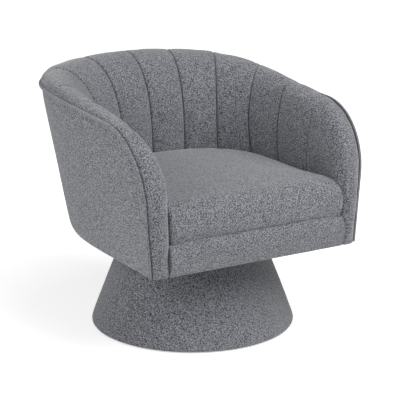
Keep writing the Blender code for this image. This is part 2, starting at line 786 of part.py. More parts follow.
def body_outline(z, inset, front_y):
    """Right half of the body's plan at a height, from the back's middle to the arm's front."""
    points = []
    for distance in fan_distances(CURVE_END):
        station = back_station(distance)
        point = station.place(station.inside(z - SEAT_Z, inset), z - SEAT_Z)
        points.append((point.x, point.y))
    points.append((outer_half_width(z) - inset, front_y))
    return points


def both_halves(half):
    """A closed outline from its right half, which starts on the middle plane."""
    return half + [(-x, y) for x, y in half[:0:-1]]


def seat_board(finish, parent):
    """Bottom board of the body, notched where the padding of the arm fronts hangs past it."""
    half = body_outline(SEAT_BOARD_Z, COVER_INSET, EAR_Y)
    half += [(EAR_X, EAR_Y), (EAR_X, NOTCH_Y), (NOTCH_X, NOTCH_Y), (NOTCH_X, RAIL_FRONT_Y)]
    solid = prism(both_halves(half), SEAT_BOARD_Z, SEAT_BOARD_TOP)
    board = piece("seat_board", solid, finish, parent)
    low, high = SEAT_BOARD_Z - GAP, SEAT_BOARD_TOP + GAP
    holes = rods(screw_places(), SCREW_RADIUS + GAP, low, high)
    combine(board, helper("seat_board_screw_holes", holes), "DIFFERENCE")
    bore = rods([(0, 0)], PIVOT_RADIUS + PIVOT_FLANGE + PIVOT_BORE_CLEARANCE, low, high, GLIDE_STEPS)
    combine(board, helper("seat_board_bore", bore), "DIFFERENCE")


def seat_dust_cover(finish, parent):
    """Thin black cloth under the body, inside the turned-in hems."""
    half = body_outline(BODY_Z, COVER_HEM_WIDTH + GAP, NOTCH_Y + GAP)
    half += [(NOTCH_X, NOTCH_Y + GAP), (NOTCH_X, RAIL_FRONT_Y + COVER_HEM_WIDTH + GAP)]
    high = SEAT_BOARD_Z - GAP
    low = high - DUST_COVER_THICKNESS
    cloth = piece("seat_dust_cover", prism(both_halves(half), low, high), finish, parent)
    corner = PLATE_HALF_WIDTH * math.sqrt(2) + 4 * GAP
    hole = rods([(0, 0)], corner, low - GAP, high + GAP, ROUND_STEPS)
    combine(cloth, helper("seat_dust_cover_hole", hole), "DIFFERENCE")


def box(x_range, y_range, z_range):
    x0, x1 = x_range
    y0, y1 = y_range
    return prism([(x0, y0), (x1, y0), (x1, y1), (x0, y1)], *z_range)


def seat_rails(finish, parent):
    """Front, side and curved back rail under the seat."""
    thick = SEAT_RAIL_THICKNESS
    heights = (FRAME_Z, SEAT_RAIL_TOP)
    back_y = RAIL_FRONT_Y + thick
    outer = SEAT_HALF_WIDTH - INNER_FACE_INSET
    piece("front_rail", box((-NOTCH_X, NOTCH_X), (RAIL_FRONT_Y, back_y), heights), finish, parent)
    for name, side in (("side_rail_right", 1), ("side_rail_left", -1)):
        x_range = sorted((side * (outer - thick), side * outer))
        rail = box(x_range, (back_y + GAP, STRAIGHT_Y - GAP), heights)
        piece(name, rail, finish, parent)
    near = curve_quarter(outer, SEAT_DEPTH - INNER_FACE_INSET)
    far = curve_quarter(outer - thick, SEAT_DEPTH - INNER_FACE_INSET - thick)
    pairs = list(zip(near, far))
    pairs += [((-a[0], a[1]), (-b[0], b[1])) for a, b in pairs[-2::-1]]
    low, high = heights
    sections = []
    for a, b in pairs:
        sections.append([Vector((*a, low)), Vector((*a, high)), Vector((*b, high)), Vector((*b, low))])
    piece("back_rail", loft(sections), finish, parent)


def arm_plates(finish, parent):
    """Plywood side plates that follow the front curve of the arms."""
    near = SEAT_HALF_WIDTH + PAD_THICKNESS + GAP
    edge = PAD_OVER_RAIL + GAP
    rail_drop = edge + TOP_RAIL_HEIGHT + GAP
    radius = ARM_CORNER - edge
    centre_z = RIM_Z - ARM_CORNER
    start = math.degrees(math.acos((CORNER_Y - PANEL_Y) / radius))
    outline = [(FRONT_Y + edge, FRAME_Z)]
    outline += arc((CORNER_Y, centre_z), radius, 180, 180 - start, CORNER_STEPS)
    outline += [(PANEL_Y, rim_height(PANEL_Y) - rail_drop)]
    outline += [(CORNER_Y, RIM_Z - rail_drop), (STRAIGHT_Y, rim_height(STRAIGHT_Y) - rail_drop)]
    outline += [(STRAIGHT_Y, FRAME_Z)]
    for name, side in (("arm_plate_right", 1), ("arm_plate_left", -1)):
        sections = []
        for x in (near, near + ARM_PLATE_THICKNESS):
            sections.append([Vector((side * x, y, z)) for y, z in outline])
        piece(name, loft(sections), finish, parent)


def rail_loop(station):
    """Section of the top rail under the padding's roll."""
    high = station.rise - PAD_OVER_RAIL - GAP
    low = high - TOP_RAIL_HEIGHT
    outer = station.inside(high, COVER_INSET + 2 * GAP)
    outer_low = station.inside(low, COVER_INSET + 2 * GAP)
    inner = max(outer_low - TOP_RAIL_WIDTH, station.back_line(high) + 2 * GAP)
    corners = ((inner, high), (outer, high), (outer_low, low), (inner, low))
    return [station.place(out, up) for out, up in corners]


def top_rails(finish, parent):
    """Curved top rail of the back and the two arm rails."""
    loops = [rail_loop(back_station(distance)) for distance in fan_distances(CURVE_END)]
    whole = [mirrored(loop, -1) for loop in loops[:0:-1]] + loops
    piece("back_top_rail", loft(whole), finish, parent)
    start = CURVE_END + GAP
    distances = [start] + [distance for distance in fan_distances(PANEL_START) if distance > start]
    arm = [rail_loop(back_station(distance)) for distance in distances]
    for name, side in (("arm_rail_right", 1), ("arm_rail_left", -1)):
        piece(name, loft([mirrored(loop, side) for loop in arm]), finish, parent)


def rear_posts(finish, parent):
    """Leaning posts between the seat board and the curved top rail."""
    middle = PANEL_START * POST_SHARE
    pair = [back_station(middle - POST_WIDTH / 2), back_station(middle + POST_WIDTH / 2)]
    rise = min(station.rise for station in pair)
    loops = []
    for high in (-pair[0].below, rise - PAD_OVER_RAIL - TOP_RAIL_HEIGHT - 2 * GAP):
        outer = [station.inside(high, COVER_INSET + POST_CLEARANCE) for station in pair]
        inner = [max(out - POST_THICKNESS, station.back_line(high) + POST_CLEARANCE)
                 for out, station in zip(outer, pair)]
        loop = [station.place(out, high) for out, station in zip(inner, pair)]
        loop += [station.place(out, high) for out, station in zip(outer[::-1], pair[::-1])]
        loops.append(loop)
    for name, side in (("rear_post_right", 1), ("rear_post_left", -1)):
        piece(name, loft([mirrored(loop, side) for loop in loops]), finish, parent)


def back_rail_reach(x):
    """How far back a strap at x may run on the curved seat rail."""
    inset = INNER_FACE_INSET + SEAT_RAIL_THICKNESS / 2
    share = abs(x) / (SEAT_HALF_WIDTH - inset)
    return STRAIGHT_Y + (SEAT_DEPTH - inset) * (1 - share ** SEAT_SQUARENESS) ** (1 / SEAT_SQUARENESS)


def side_rail_reach(y):
    """How far sideways a strap at y may run on the seat rails."""
    inset = INNER_FACE_INSET + SEAT_RAIL_THICKNESS / 2
    share = max(0.0, y - STRAIGHT_Y) / (SEAT_DEPTH - inset)
    return (SEAT_HALF_WIDTH - inset) * (1 - share ** SEAT_SQUARENESS) ** (1 / SEAT_SQUARENESS)


def strap_knots(span, crossings):
    """Places along a strap with the share of lift there, for the crossings it passes over."""
    level = STRAP_WIDTH / 2 + 2 * GAP
    knots = [(span[0], 0.0)]
    for centre in sorted(crossings):
        rise = [(level + STRAP_RAMP, 0.0), (level + STRAP_RAMP / 2, 0.5), (level, 1.0)]
        knots += [(centre - reach, lift) for reach, lift in rise]
        knots += [(centre + reach, lift) for reach, lift in rise[::-1]]
    return knots + [(span[1], 0.0)]


def strap(name, finish, parent, middle, span, crossings, lengthwise):
    """One elastic strap, woven over the crossings given and under the others."""
    sections = []
    for along, lift in strap_knots(span, crossings):
        low = STRAP_Z + lift * STRAP_LIFT
        loop = []
        for side, high in ((-1, 0), (1, 0), (1, 1), (-1, 1)):
            across = middle + side * STRAP_WIDTH / 2
            z = low + high * STRAP_THICKNESS
            loop.append(Vector((across, along, z) if lengthwise else (along, across, z)))
        sections.append(loop)
    piece(name, loft(sections), finish, parent)


def straps(finish, parent):
    """Elastic webbing woven front to back and side to side."""
    xs = [LONG_STRAP_PITCH * (k - (LONG_STRAPS - 1) / 2) for k in range(LONG_STRAPS)]
    ys = [CROSS_STRAP_Y + CROSS_STRAP_PITCH * k for k in range(CROSS_STRAPS)]
    front = RAIL_FRONT_Y + SEAT_RAIL_THICKNESS / 2
    for i, x in enumerate(xs):
        over = [y for j, y in enumerate(ys) if (i + j) % 2 == 0]
        back = back_rail_reach(abs(x) + STRAP_WIDTH / 2)
        strap(f"strap_long_{i + 1}", finish, parent, x, (front, back), over, True)
    for j, y in enumerate(ys):
        over = [x for i, x in enumerate(xs) if (i + j) % 2 == 1]
        side = side_rail_reach(y + STRAP_WIDTH / 2)
        strap(f"strap_cross_{j + 1}", finish, parent, y, (-side, side), over, False)


def seat_outline(inset, front_y, corner, bow=0.0):
    """Plan outline of what lies between the arms, from the front's middle round to it again."""
    wide = SEAT_HALF_WIDTH - 2 * GAP - inset
    narrow = SEAT_HALF_WIDTH - ARM_FACE_INSET - inset
    depth = SEAT_DEPTH - INNER_FACE_INSET - GAP - inset
    half = []
    for k in range(FRONT_STEPS + 1):
        share = k / FRONT_STEPS
        half.append(((wide - corner) * share, front_y - bow * (1 - share ** 2)))
    half += arc((wide - corner, front_y + corner), corner, -90, 0, 4)[1:]
    half += [(wide, mix(front_y + corner, PANEL_Y, 0.5)), (wide, PANEL_Y - ARM_FACE_INSET)]
    half += [(narrow, PANEL_Y + GAP), (narrow, mix(PANEL_Y, STRAIGHT_Y, 0.5))]
    half += curve_quarter(narrow, depth)
    return half + [(-x, y) for x, y in half[-2:0:-1]]


def seat_deck(finish, parent):
    """Cloth and felt over the webbing."""
    outline = seat_outline(GAP, RAIL_FRONT_Y, 4 * GAP)
    piece("seat_deck", prism(outline, DECK_Z, DECK_Z + DECK_THICKNESS), finish, parent)


def seat_cushion(finish, parent):
    """Cushion with a crown, rounded edges and drawn-in sides."""
    front = BAND_TOP_Y - CUSHION_DRAW_IN
    radius = CUSHION_EDGE_RADIUS
    rings = [(CUSHION_DRAW_IN * 3, 0.0), (CUSHION_DRAW_IN, CUSHION_DRAW_IN / 2)]
    rings += [(CUSHION_DRAW_IN / 3, CUSHION_DRAW_IN * 2), (0.0, CUSHION_THICKNESS * CUSHION_BELLY)]
    for k in range(EDGE_STEPS + 1):
        turn = math.pi / 2 * k / EDGE_STEPS
        inset = radius * (1 - math.cos(turn))
        rings.append((inset, CUSHION_THICKNESS - radius * (1 - math.sin(turn))))
    sections = []
    for inset, high in rings:
        side_inset = inset * CUSHION_SIDE_SHARE
        outline = seat_outline(side_inset, front + inset, CUSHION_CORNER, CUSHION_FRONT_BOW)
        sections.append([Vector((x, y, CUSHION_Z + high)) for x, y in outline])
    edge = sections[-1]
    middle = Vector((0, (front + STRAIGHT_Y + SEAT_DEPTH) / 2, SEAT_Z))
    for share in (0.82, 0.62, 0.40, 0.18):
        lift = Vector((0, 0, CUSHION_CROWN * (1 - share ** 2)))
        sections.append([middle + (point - middle) * share + lift for point in edge])
    piece("seat_cushion", loft(sections), finish, parent, sharp_angle=SOFT_ANGLE)


def front_band(finish, parent):
    """Padded band over the front rail, with its hem under the body."""
    back = RAIL_FRONT_Y - GAP
    low = BODY_Z
    high = CUSHION_Z - GAP
    round_ = BAND_EDGE_RADIUS
    outline = [(back + COVER_HEM_WIDTH, low), (back, low)]
    outline += arc((BAND_FOOT_Y + round_, low - BAND_DROP + round_), round_, 270, 180, 2)
    outline += [(mix(BAND_FOOT_Y, BAND_TOP_Y, BAND_FULLNESS), mix(low, high, 0.5))]
    outline += arc((BAND_TOP_Y + round_, high - round_), round_, 180, 90, 4)
    outline += [(back, high), (back, low + HEM_THICKNESS)]
    outline += [(back + COVER_HEM_WIDTH, low + HEM_THICKNESS)]
    sections = []
    for x in (-NOTCH_X, NOTCH_X):
        sections.append([Vector((x, y, z)) for y, z in outline])
    piece("front_band", loft(sections), finish, parent)


def channel_bulge(most, share):
    """Swelling of a channel across its width, nothing at its two seams."""
    return most * (1 - (2 * share - 1) ** 2) ** CHANNEL_ROUNDNESS


def channels(finish, parent):
    """The stuffed channels of the inner back and arms, parted at their seams."""
    for number, most in enumerate(CHANNEL_BULGES, 1):
        near, far = SEAMS[number - 1:number + 1]
        loops = []
        for k in range(CHANNEL_COLUMNS + 1):
            share = (1 - math.cos(math.pi * k / CHANNEL_COLUMNS)) / 2
            station = back_station(mix(near + GAP, far - GAP, share))
            loops.append(station.pad_loop(channel_bulge(most, share)))
        piece(f"channel_right_{number}", loft(loops), finish, parent, sharp_angle=SOFT_ANGLE)
        left = [mirrored(loop, -1) for loop in loops]
        piece(f"channel_left_{number}", loft(left), finish, parent, sharp_angle=SOFT_ANGLE)


def arm_panels(finish, parent):
    """Smooth panels that fall over the arm fronts down to the underside."""
    loops = [panel_station(k / PANEL_STEPS).pad_loop(0.0) for k in range(PANEL_STEPS + 1)]
    for name, side in (("arm_panel_right", 1), ("arm_panel_left", -1)):
        solid = loft([mirrored(loop, side) for loop in loops])
        piece(name, solid, finish, parent, sharp_angle=SOFT_ANGLE)


def cover_column(station, top, hem_width):
    """Section of the outer panel at a station, from the rim to its hem."""
    foot = BODY_Z - SEAT_Z
    low = foot + HEM_THICKNESS
    high = top - SEAT_Z
    levels = [low, foot + REAR_TUCK_HEIGHT / 3, foot + REAR_TUCK_HEIGHT]
    levels += [high - PAD_OVER_RAIL - TOP_RAIL_HEIGHT, high]
    loop = [(station.inside(level, 0.0), level) for level in levels[::-1]]
    loop += [(station.inside(foot, HEM_THICKNESS), foot)]
    loop += [(station.inside(foot, hem_width), foot), (station.inside(foot, hem_width), low)]
    loop += [(station.inside(level, COVER_THICKNESS), level) for level in levels]
    return [station.place(out, up) for out, up in loop]


def side_station(y):
    """Upright section through the straight part of the arm."""
    base = Vector((SEAT_HALF_WIDTH, y, SEAT_Z))
    return Station(base, Vector((1, 0, 0)), Vector((0, 0, 1)), rim_height(y) - SEAT_Z, 0.0)


def outside_cover(finish, parent):
    """Outer panel of the arms and back, with its hem turned under the body."""
    clear = PIPING_RADIUS + 3 * GAP
    loops = []
    for distance in fan_distances(CURVE_END):
        station = back_station(distance)
        loops.append(cover_column(station, station.rise + SEAT_Z - clear, COVER_HEM_WIDTH))
    for y in (mix(STRAIGHT_Y, CORNER_Y, 0.5), CORNER_Y):
        loops.append(cover_column(side_station(y), rim_height(y) - clear, COVER_HEM_WIDTH))
    edge = arc((CORNER_Y, RIM_Z - ARM_CORNER), ARM_CORNER - clear, 90, 180, CORNER_STEPS)[1:]
    for (y, top), after in zip(edge, edge[1:] + edge[-1:]):
        hem_width = COVER_THICKNESS
        if after[0] > EAR_Y:
            hem_width = ARM_HEM_WIDTH
        if y > NOTCH_Y + COVER_HEM_WIDTH:
            hem_width = COVER_HEM_WIDTH
        loops.append(cover_column(side_station(y), top, hem_width))
    whole = [mirrored(loop, -1) for loop in loops[:0:-1]] + loops
    piece("outside_cover", loft(whole), finish, parent)


def rim_path():
    """Centre line of the piping on the right half, from the back's middle to the underside."""
    stations = [back_station(distance) for distance in fan_distances(PANEL_START)]
    stations += [panel_station(k / PLAN_STEPS) for k in range(1, PLAN_STEPS + 1)]
    return [station.rim_point(PIPING_SINK) for station in stations]


def piping(finish, parent):
    """Round welt along the rim from one arm's foot to the other's."""
    half = rim_path()
    path = mirrored(half[:0:-1], -1) + half
    loops = []
    for k, point in enumerate(path):
        ahead = (path[min(k + 1, len(path) - 1)] - path[max(k - 1, 0)]).normalized()
        outward = Vector((point.x, point.y - STRAIGHT_Y, point.z * PIPING_TILT))
        side = (outward - ahead * outward.dot(ahead)).normalized()
        other = ahead.cross(side)
        loop = []
        for j in range(PIPING_SIDES):
            turn = math.tau * j / PIPING_SIDES
            loop.append(point + (side * math.cos(turn) + other * math.sin(turn)) * PIPING_RADIUS)
        loops.append(loop)
    piece("piping", loft(loops), finish, parent)


def empty(name):
    made = bpy.data.objects.new(name, None)
    bpy.context.collection.objects.link(made)
    return made


def build_base():
    """Everything that stands still."""
    base = empty("base")
    board = plywood()
    screw = zinc_steel()
    black = lining()
    base_cover(upholstery(), base)
    base_skin(fibreboard(), base)
    base_bottom_board(board, base)
    base_top_board(board, base)
    base_ribs(board, base)
    base_dust_cover(black, base)
    glides(glide_plastic(), base)
    swivel_plate("swivel_lower_plate", screw, base, False)
    ball_ring(bearing_steel(), base)
    swivel_pivot(screw, base)
    plate_screws("lower_plate_screw", screw, base, SWIVEL_Z + PLATE_THICKNESS, -1)


def build_seat():
    """Everything that turns with the seat."""
    seat = empty("seat")
    fabric = upholstery()
    board = plywood()
    wood = timber()
    black = lining()
    screw = zinc_steel()
    swivel_plate("swivel_upper_plate", screw, seat, True)
    face = SWIVEL_Z + SWIVEL_HEIGHT - PLATE_THICKNESS
    plate_screws("upper_plate_screw", screw, seat, face, 1)
    seat_board(board, seat)
    seat_rails(wood, seat)
    arm_plates(board, seat)
    top_rails(board, seat)
    rear_posts(wood, seat)
    straps(webbing(), seat)
    seat_deck(black, seat)
    seat_dust_cover(black, seat)
    seat_cushion(fabric, seat)
    front_band(fabric, seat)
    channels(fabric, seat)
    arm_panels(fabric, seat)
    outside_cover(fabric, seat)
    piping(welt_fabric(), seat)


def main():
    for old in list(bpy.data.objects):
        bpy.data.objects.remove(old, do_unlink=True)
    build_base()
    build_seat()


main()
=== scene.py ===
"""Swivel accent chair: its upholstery, its finishes and the studio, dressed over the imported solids.

All sizes are in metres. The chair stands on z = 0, faces -Y and turns about the Z axis.
"""

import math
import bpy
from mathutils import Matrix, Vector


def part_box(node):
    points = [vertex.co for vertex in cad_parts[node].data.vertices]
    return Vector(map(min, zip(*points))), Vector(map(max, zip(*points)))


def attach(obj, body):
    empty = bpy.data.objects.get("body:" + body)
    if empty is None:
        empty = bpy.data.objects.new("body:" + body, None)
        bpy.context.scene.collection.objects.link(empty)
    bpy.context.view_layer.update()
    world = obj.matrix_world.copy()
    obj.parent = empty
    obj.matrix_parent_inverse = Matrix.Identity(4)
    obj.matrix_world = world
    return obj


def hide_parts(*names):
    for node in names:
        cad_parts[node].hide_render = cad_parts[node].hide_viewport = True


bl_info = {
    "name": "Swivel accent chair",
    "version": (1, 0, 0),
    "blender": (4, 5, 0),
    "location": "View3D > Sidebar > Chair",
    "description": "Builds the upholstery, finishes and studio of a barrel swivel chair",
    "category": "Object",
}

from bisect import bisect_left

import bmesh
import bpy
from mathutils import Vector, noise

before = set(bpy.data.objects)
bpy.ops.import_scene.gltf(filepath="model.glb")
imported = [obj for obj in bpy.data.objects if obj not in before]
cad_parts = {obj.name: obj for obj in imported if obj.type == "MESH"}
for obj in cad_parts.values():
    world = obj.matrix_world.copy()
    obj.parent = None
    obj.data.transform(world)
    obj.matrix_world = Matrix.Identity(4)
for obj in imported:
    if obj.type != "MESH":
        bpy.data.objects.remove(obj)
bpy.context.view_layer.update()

# Clearance between neighbouring solids
GAP = 0.0003

# Plan of the seat space and of the body round it
SEAT_HALF_WIDTH = 0.274
SEAT_DEPTH = 0.285
SEAT_SQUARENESS = 2.5
STRAIGHT_Y = -0.050
ARM_THICKNESS = 0.058
BACK_THICKNESS = 0.065
SIDE_FLARE = 0.077
BACK_RECLINE = 0.329
FOOT_SQUARENESS = 3.40
RIM_SQUARENESS = 3.95
ARM_LENGTH = 0.290

# Rim, arm corner and rear edge
RIM_HEIGHT = 0.385
RIM_SLOPE = 0.060
ARM_CORNER = 0.190
REAR_TUCK = 0.008
REAR_TUCK_HEIGHT = 0.030
PIPING_SINK = 0.0010
PIPING_GROOVE = 0.0050
GROOVE_REACH = 0.85
# Place and radius of the thin dark cord in the piping's fold, which is painted shade for the groove's
# shadow
SHADE_CORD_PLACE = 0.74
SHADE_CORD_RADIUS = 0.0013
COVER_THICKNESS = 0.007
COVER_HEM_WIDTH = 0.030
HEM_THICKNESS = 0.0017

# Padding of the inner back and arms
PAD_THICKNESS = 0.030
PAD_OVER_RAIL = 0.018
SEAM_SHARES = (0.0, 0.1803, 0.3522, 0.5476, 0.7532, 1.0)
PANEL_Y = -0.186
FAN_BEND = 1.15
ARM_ROLL = 0.0085
BACK_ROLL = 0.050
ROLL_FALL = 0.85
ROLL_SQUARENESS = 2.35
ROLL_BACK_SET = 0.035
ROLL_CORNER_SET = 0.015
ROLL_CORNER_END = 0.7
ROLL_ARM_SHARE = 0.62
ROLL_FRONT_SHARE = 0.30
ROLL_PUFF_SHARE = 0.30
ROLL_LIP = 0.0110
CHANNEL_PUFFS = (0.0120, 0.0110, 0.0080, 0.0055, 0.0035)
SEAM_DEPTHS = (0.0105, 0.0100, 0.0120, 0.0110, 0.0085, 0.0025)
SEAM_OFFSETS = (0.0, 0.0008, 0.0018, 0.0045)
SEAM_PROFILE = (1.0, 0.50, 0.10, 0.0)
SEAM_BOWS = (0.0, 0.0, 0.0025, 0.0120, 0.0080, 0.0055)
# Share of a seam's depth that is left at the crest, on the arms and on the back
SEAM_LEFT = (0.05, 0.45)
FRONT_ROLL = 0.023
FRONT_ROLL_DEPTH = 0.057
FRONT_RETURN = 0.065
FRONT_EDGE = 0.007
FRONT_FOOT_SET = 0.004
FRONT_TURN_SHARE = 0.55
FRONT_LOW_SHARE = 0.60
PANEL_PIVOT_Z = 0.360
PANEL_PIVOT_RADIUS = 0.030

# Points of a section: below the seat, up the face to the crest, and down to the piping
FOOT_ROWS = 5
FACE_ROWS = 24
ROLL_ROWS = 12

# Cone
BASE_TOP_RADIUS = 0.1990
BASE_SPREAD = 0.0989
BASE_EDGE_RADIUS = 0.013
BASE_HEM_WIDTH = 0.030
CONE_FULLNESS = 0.001
CONE_DROP = 0.002

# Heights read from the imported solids
BODY_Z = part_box("outside_cover")[0].z
FRAME_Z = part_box("seat_board")[1].z + GAP
CUSHION_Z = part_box("seat_cushion")[0].z
BAND_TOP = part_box("front_band")[1].z
BASE_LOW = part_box("base_cover")[0].z
BASE_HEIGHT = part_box("base_cover")[1].z
CUSHION_THICKNESS = 0.099
SEAT_Z = CUSHION_Z + CUSHION_THICKNESS
RIM_Z = BODY_Z + RIM_HEIGHT

# Plan places that follow from the sizes above
FRONT_Y = STRAIGHT_Y - ARM_LENGTH
CORNER_Y = FRONT_Y + ARM_CORNER
OUTER_HALF_WIDTH = SEAT_HALF_WIDTH + ARM_THICKNESS
OUTER_DEPTH = SEAT_DEPTH + BACK_THICKNESS
BAND_TOP_Y = -0.365
BAND_FOOT_Y = -0.357
BAND_DROP = 0.0025
BAND_RISE = 0.011
BAND_DROOP = 0.011
BAND_REACH = 0.006
CUSHION_REACH = 0.006
CUSHION_DROOP_HEIGHT = 0.040
CUSHION_FULLNESS = 0.004
CUSHION_SLOPE = 1.45
RAIL_FRONT_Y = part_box("front_rail")[0].y
CONE_SLOPE = BASE_SPREAD / (BASE_HEIGHT - BASE_EDGE_RADIUS)

# Camera, solved from the outline of the chair
CAMERA_AZIMUTH = -31.07
CAMERA_ELEVATION = 15.31
CAMERA_DISTANCE = 4.167
CAMERA_SIDE_AIM = 0.022
CAMERA_AIM_HEIGHT = 0.363
CAMERA_FOCAL_PIXELS = 1428.5
PICTURE_PIXELS = 400
SENSOR_WIDTH = 36.0

# Studio: where the lamps look, the floor and how its shade fades with distance
LAMP_AIM = (0, 0, 0.4)
FLOOR_HALF_WIDTH = 14
FLOOR_GLOW = 0.92
SHADE_FADE = (1.2, -0.60)

# Weave of the fabric, and the cloth that fills the soft pieces
WEAVE_STRETCH = (1.0, 0.58, 1.0)
WEAVE_TURN = (0.6, 0.5, 0.7)
WEAVE_BEND = 0.0016
WEAVE_RELIEF = 0.0011
FILL_FRAMES = 20
CLOTH = {"quality": 6, "mass": 0.4, "tension_stiffness": 18, "compression_stiffness": 18,
         "bending_stiffness": 1.5, "use_pressure": True, "vertex_group_mass": "held"}


class ChairSizes(bpy.types.PropertyGroup):
    """Sizes of the soft pieces that a maker would change."""

    puff: bpy.props.FloatProperty(
        name="Channel puff", description="Share of the usual swelling of the channels",
        default=1.0, min=0.0, max=2.0, subtype="FACTOR")
    seam: bpy.props.FloatProperty(
        name="Seam depth", description="Share of the usual depth of the channels' sewn lines",
        default=1.0, min=0.0, max=2.0, subtype="FACTOR")
    piping_radius: bpy.props.FloatProperty(
        name="Piping radius", description="Radius of the cord in the rim's piping",
        default=0.0050, min=0.002, max=0.01, unit="LENGTH")
    crown: bpy.props.FloatProperty(
        name="Cushion crown", description="Rise of the middle of the seat above its edge",
        default=0.010, min=0.0, max=0.04, unit="LENGTH")
    cushion_edge: bpy.props.FloatProperty(
        name="Cushion edge", description="Radius of the seat's front upper edge",
        default=0.044, min=0.01, max=0.06, unit="LENGTH")
    pressure: bpy.props.FloatProperty(
        name="Filling pressure", description="Pressure with which the soft pieces are filled",
        default=4.0, min=0.0, max=10.0)


class FabricLook(bpy.types.PropertyGroup):
    """Colours and feel of the covering fabric."""

    dark: bpy.props.FloatVectorProperty(
        name="Dark yarn", description="Colour of the dark yarn in the weave", subtype="COLOR",
        size=3, default=(0.058, 0.062, 0.077), min=0.0, max=1.0)
    light: bpy.props.FloatVectorProperty(
        name="Light yarn", description="Colour of the light yarn in the weave", subtype="COLOR",
        size=3, default=(0.396, 0.406, 0.446), min=0.0, max=1.0)
    nub: bpy.props.FloatProperty(
        name="Nub size", description="Width of one nub of the woven surface",
        default=0.0022, min=0.0005, max=0.01, unit="LENGTH")
    roughness: bpy.props.FloatProperty(
        name="Roughness", description="How matt the fabric is", default=0.92,
        min=0.0, max=1.0, subtype="FACTOR")
    sheen: bpy.props.FloatProperty(
        name="Fuzz", description="Strength of the soft light on the fabric's fibres",
        default=0.60, min=0.0, max=1.0, subtype="FACTOR")


class StudioLook(bpy.types.PropertyGroup):
    """Floor and light of the studio."""

    floor: bpy.props.FloatVectorProperty(
        name="Floor", description="Colour of the floor", subtype="COLOR", size=3,
        default=(0.93, 0.93, 0.93), min=0.0, max=1.0)
    ambient: bpy.props.FloatProperty(
        name="Room light", description="Strength of the even light of the room",
        default=0.15, min=0.0, max=2.0)
    key: bpy.props.FloatProperty(
        name="Main light", description="Power of the large lamp above the front", default=90.0,
        min=0.0, max=500.0, unit="POWER")
    fill: bpy.props.FloatProperty(
        name="Side light", description="Power of the high lamp at the sitter's right",
        default=27.0, min=0.0, max=500.0, unit="POWER")
    rear: bpy.props.FloatProperty(
        name="Rear light", description="Power of the low lamp behind the sitter's right",
        default=13.0, min=0.0, max=500.0, unit="POWER")
    shade: bpy.props.FloatProperty(
        name="Floor shade", description="How far the light falls away under the chair in view",
        default=0.31, min=0.0, max=1.0, subtype="FACTOR")


def ease(share):
    """Smooth step from 0 to 1."""
    share = min(max(share, 0.0), 1.0)
    return share * share * (3 - 2 * share)


def mix(first, last, share):
    return first + (last - first) * share


def arc(centre, radius, start, end, steps):
    """Points along an arc, with angles in degrees."""
    turns = [math.radians(start + (end - start) * k / steps) for k in range(steps + 1)]
    return [(centre[0] + radius * math.cos(turn), centre[1] + radius * math.sin(turn))
            for turn in turns]


def curve_quarter(half_width, depth, steps):
    """Plan points from the arm's straight part to the middle of the back."""
    power = 2 / SEAT_SQUARENESS
    turns = [math.pi / 2 * k / steps for k in range(steps + 1)]
    return [(half_width * math.cos(turn) ** power, STRAIGHT_Y + depth * math.sin(turn) ** power)
            for turn in turns]


def inner_line():
    """Fine points of the inner back and arm line with their distance from the back's middle."""
    points = curve_quarter(SEAT_HALF_WIDTH, SEAT_DEPTH, 240)[::-1]
    points.append((SEAT_HALF_WIDTH, FRONT_Y))
    reached = [0.0]
    for near, far in zip(points, points[1:]):
        reached.append(reached[-1] + math.dist(near, far))
    return points, reached


INNER_POINTS, INNER_REACHED = inner_line()
CURVE_END = INNER_REACHED[-2]
PANEL_START = CURVE_END + STRAIGHT_Y - PANEL_Y


def inner_point(distance):
    """Plan point of the inner line at a distance from the back's middle."""
    k = min(max(bisect_left(INNER_REACHED, distance), 1), len(INNER_REACHED) - 1)
    share = (distance - INNER_REACHED[k - 1]) / (INNER_REACHED[k] - INNER_REACHED[k - 1])
    near, far = INNER_POINTS[k - 1], INNER_POINTS[k]
    return mix(near[0], far[0], share), mix(near[1], far[1], share)


def outer_sizes(z):
    above = z - BODY_Z
    squareness = mix(FOOT_SQUARENESS, RIM_SQUARENESS, above / RIM_HEIGHT)
    return OUTER_HALF_WIDTH + SIDE_FLARE * above, OUTER_DEPTH + BACK_RECLINE * above, squareness


def outer_reach(start, heading, z):
    """Level distance from a point to the outer surface along a heading, by halving."""
    half_width, depth, squareness = outer_sizes(z)
    near, far = 0.0, half_width + depth
    for _ in range(30):
        middle = (near + far) / 2
        x = start.x + heading.x * middle
        y = max(0.0, start.y + heading.y * middle - STRAIGHT_Y)
        if (abs(x) / half_width) ** squareness + (y / depth) ** squareness < 1:
            near = middle
        else:
            far = middle
    return near


def outer_normal(x, y, z):
    """Horizontal direction square to the outer surface at a place on it."""
    half_width, depth, squareness = outer_sizes(z)
    sideways = (abs(x) / half_width) ** (squareness - 1) / half_width
    backward = (max(0.0, y - STRAIGHT_Y) / depth) ** (squareness - 1) / depth
    return Vector((math.copysign(sideways, x), backward, 0)).normalized()


def rim_height(y):
    """Height of the rim at a place along the chair, with the front corner of the arm."""
    if y >= CORNER_Y:
        return RIM_Z + RIM_SLOPE * (y - CORNER_Y)
    fall = min(CORNER_Y - y, ARM_CORNER)
    return RIM_Z - ARM_CORNER + math.sqrt(ARM_CORNER ** 2 - fall ** 2)


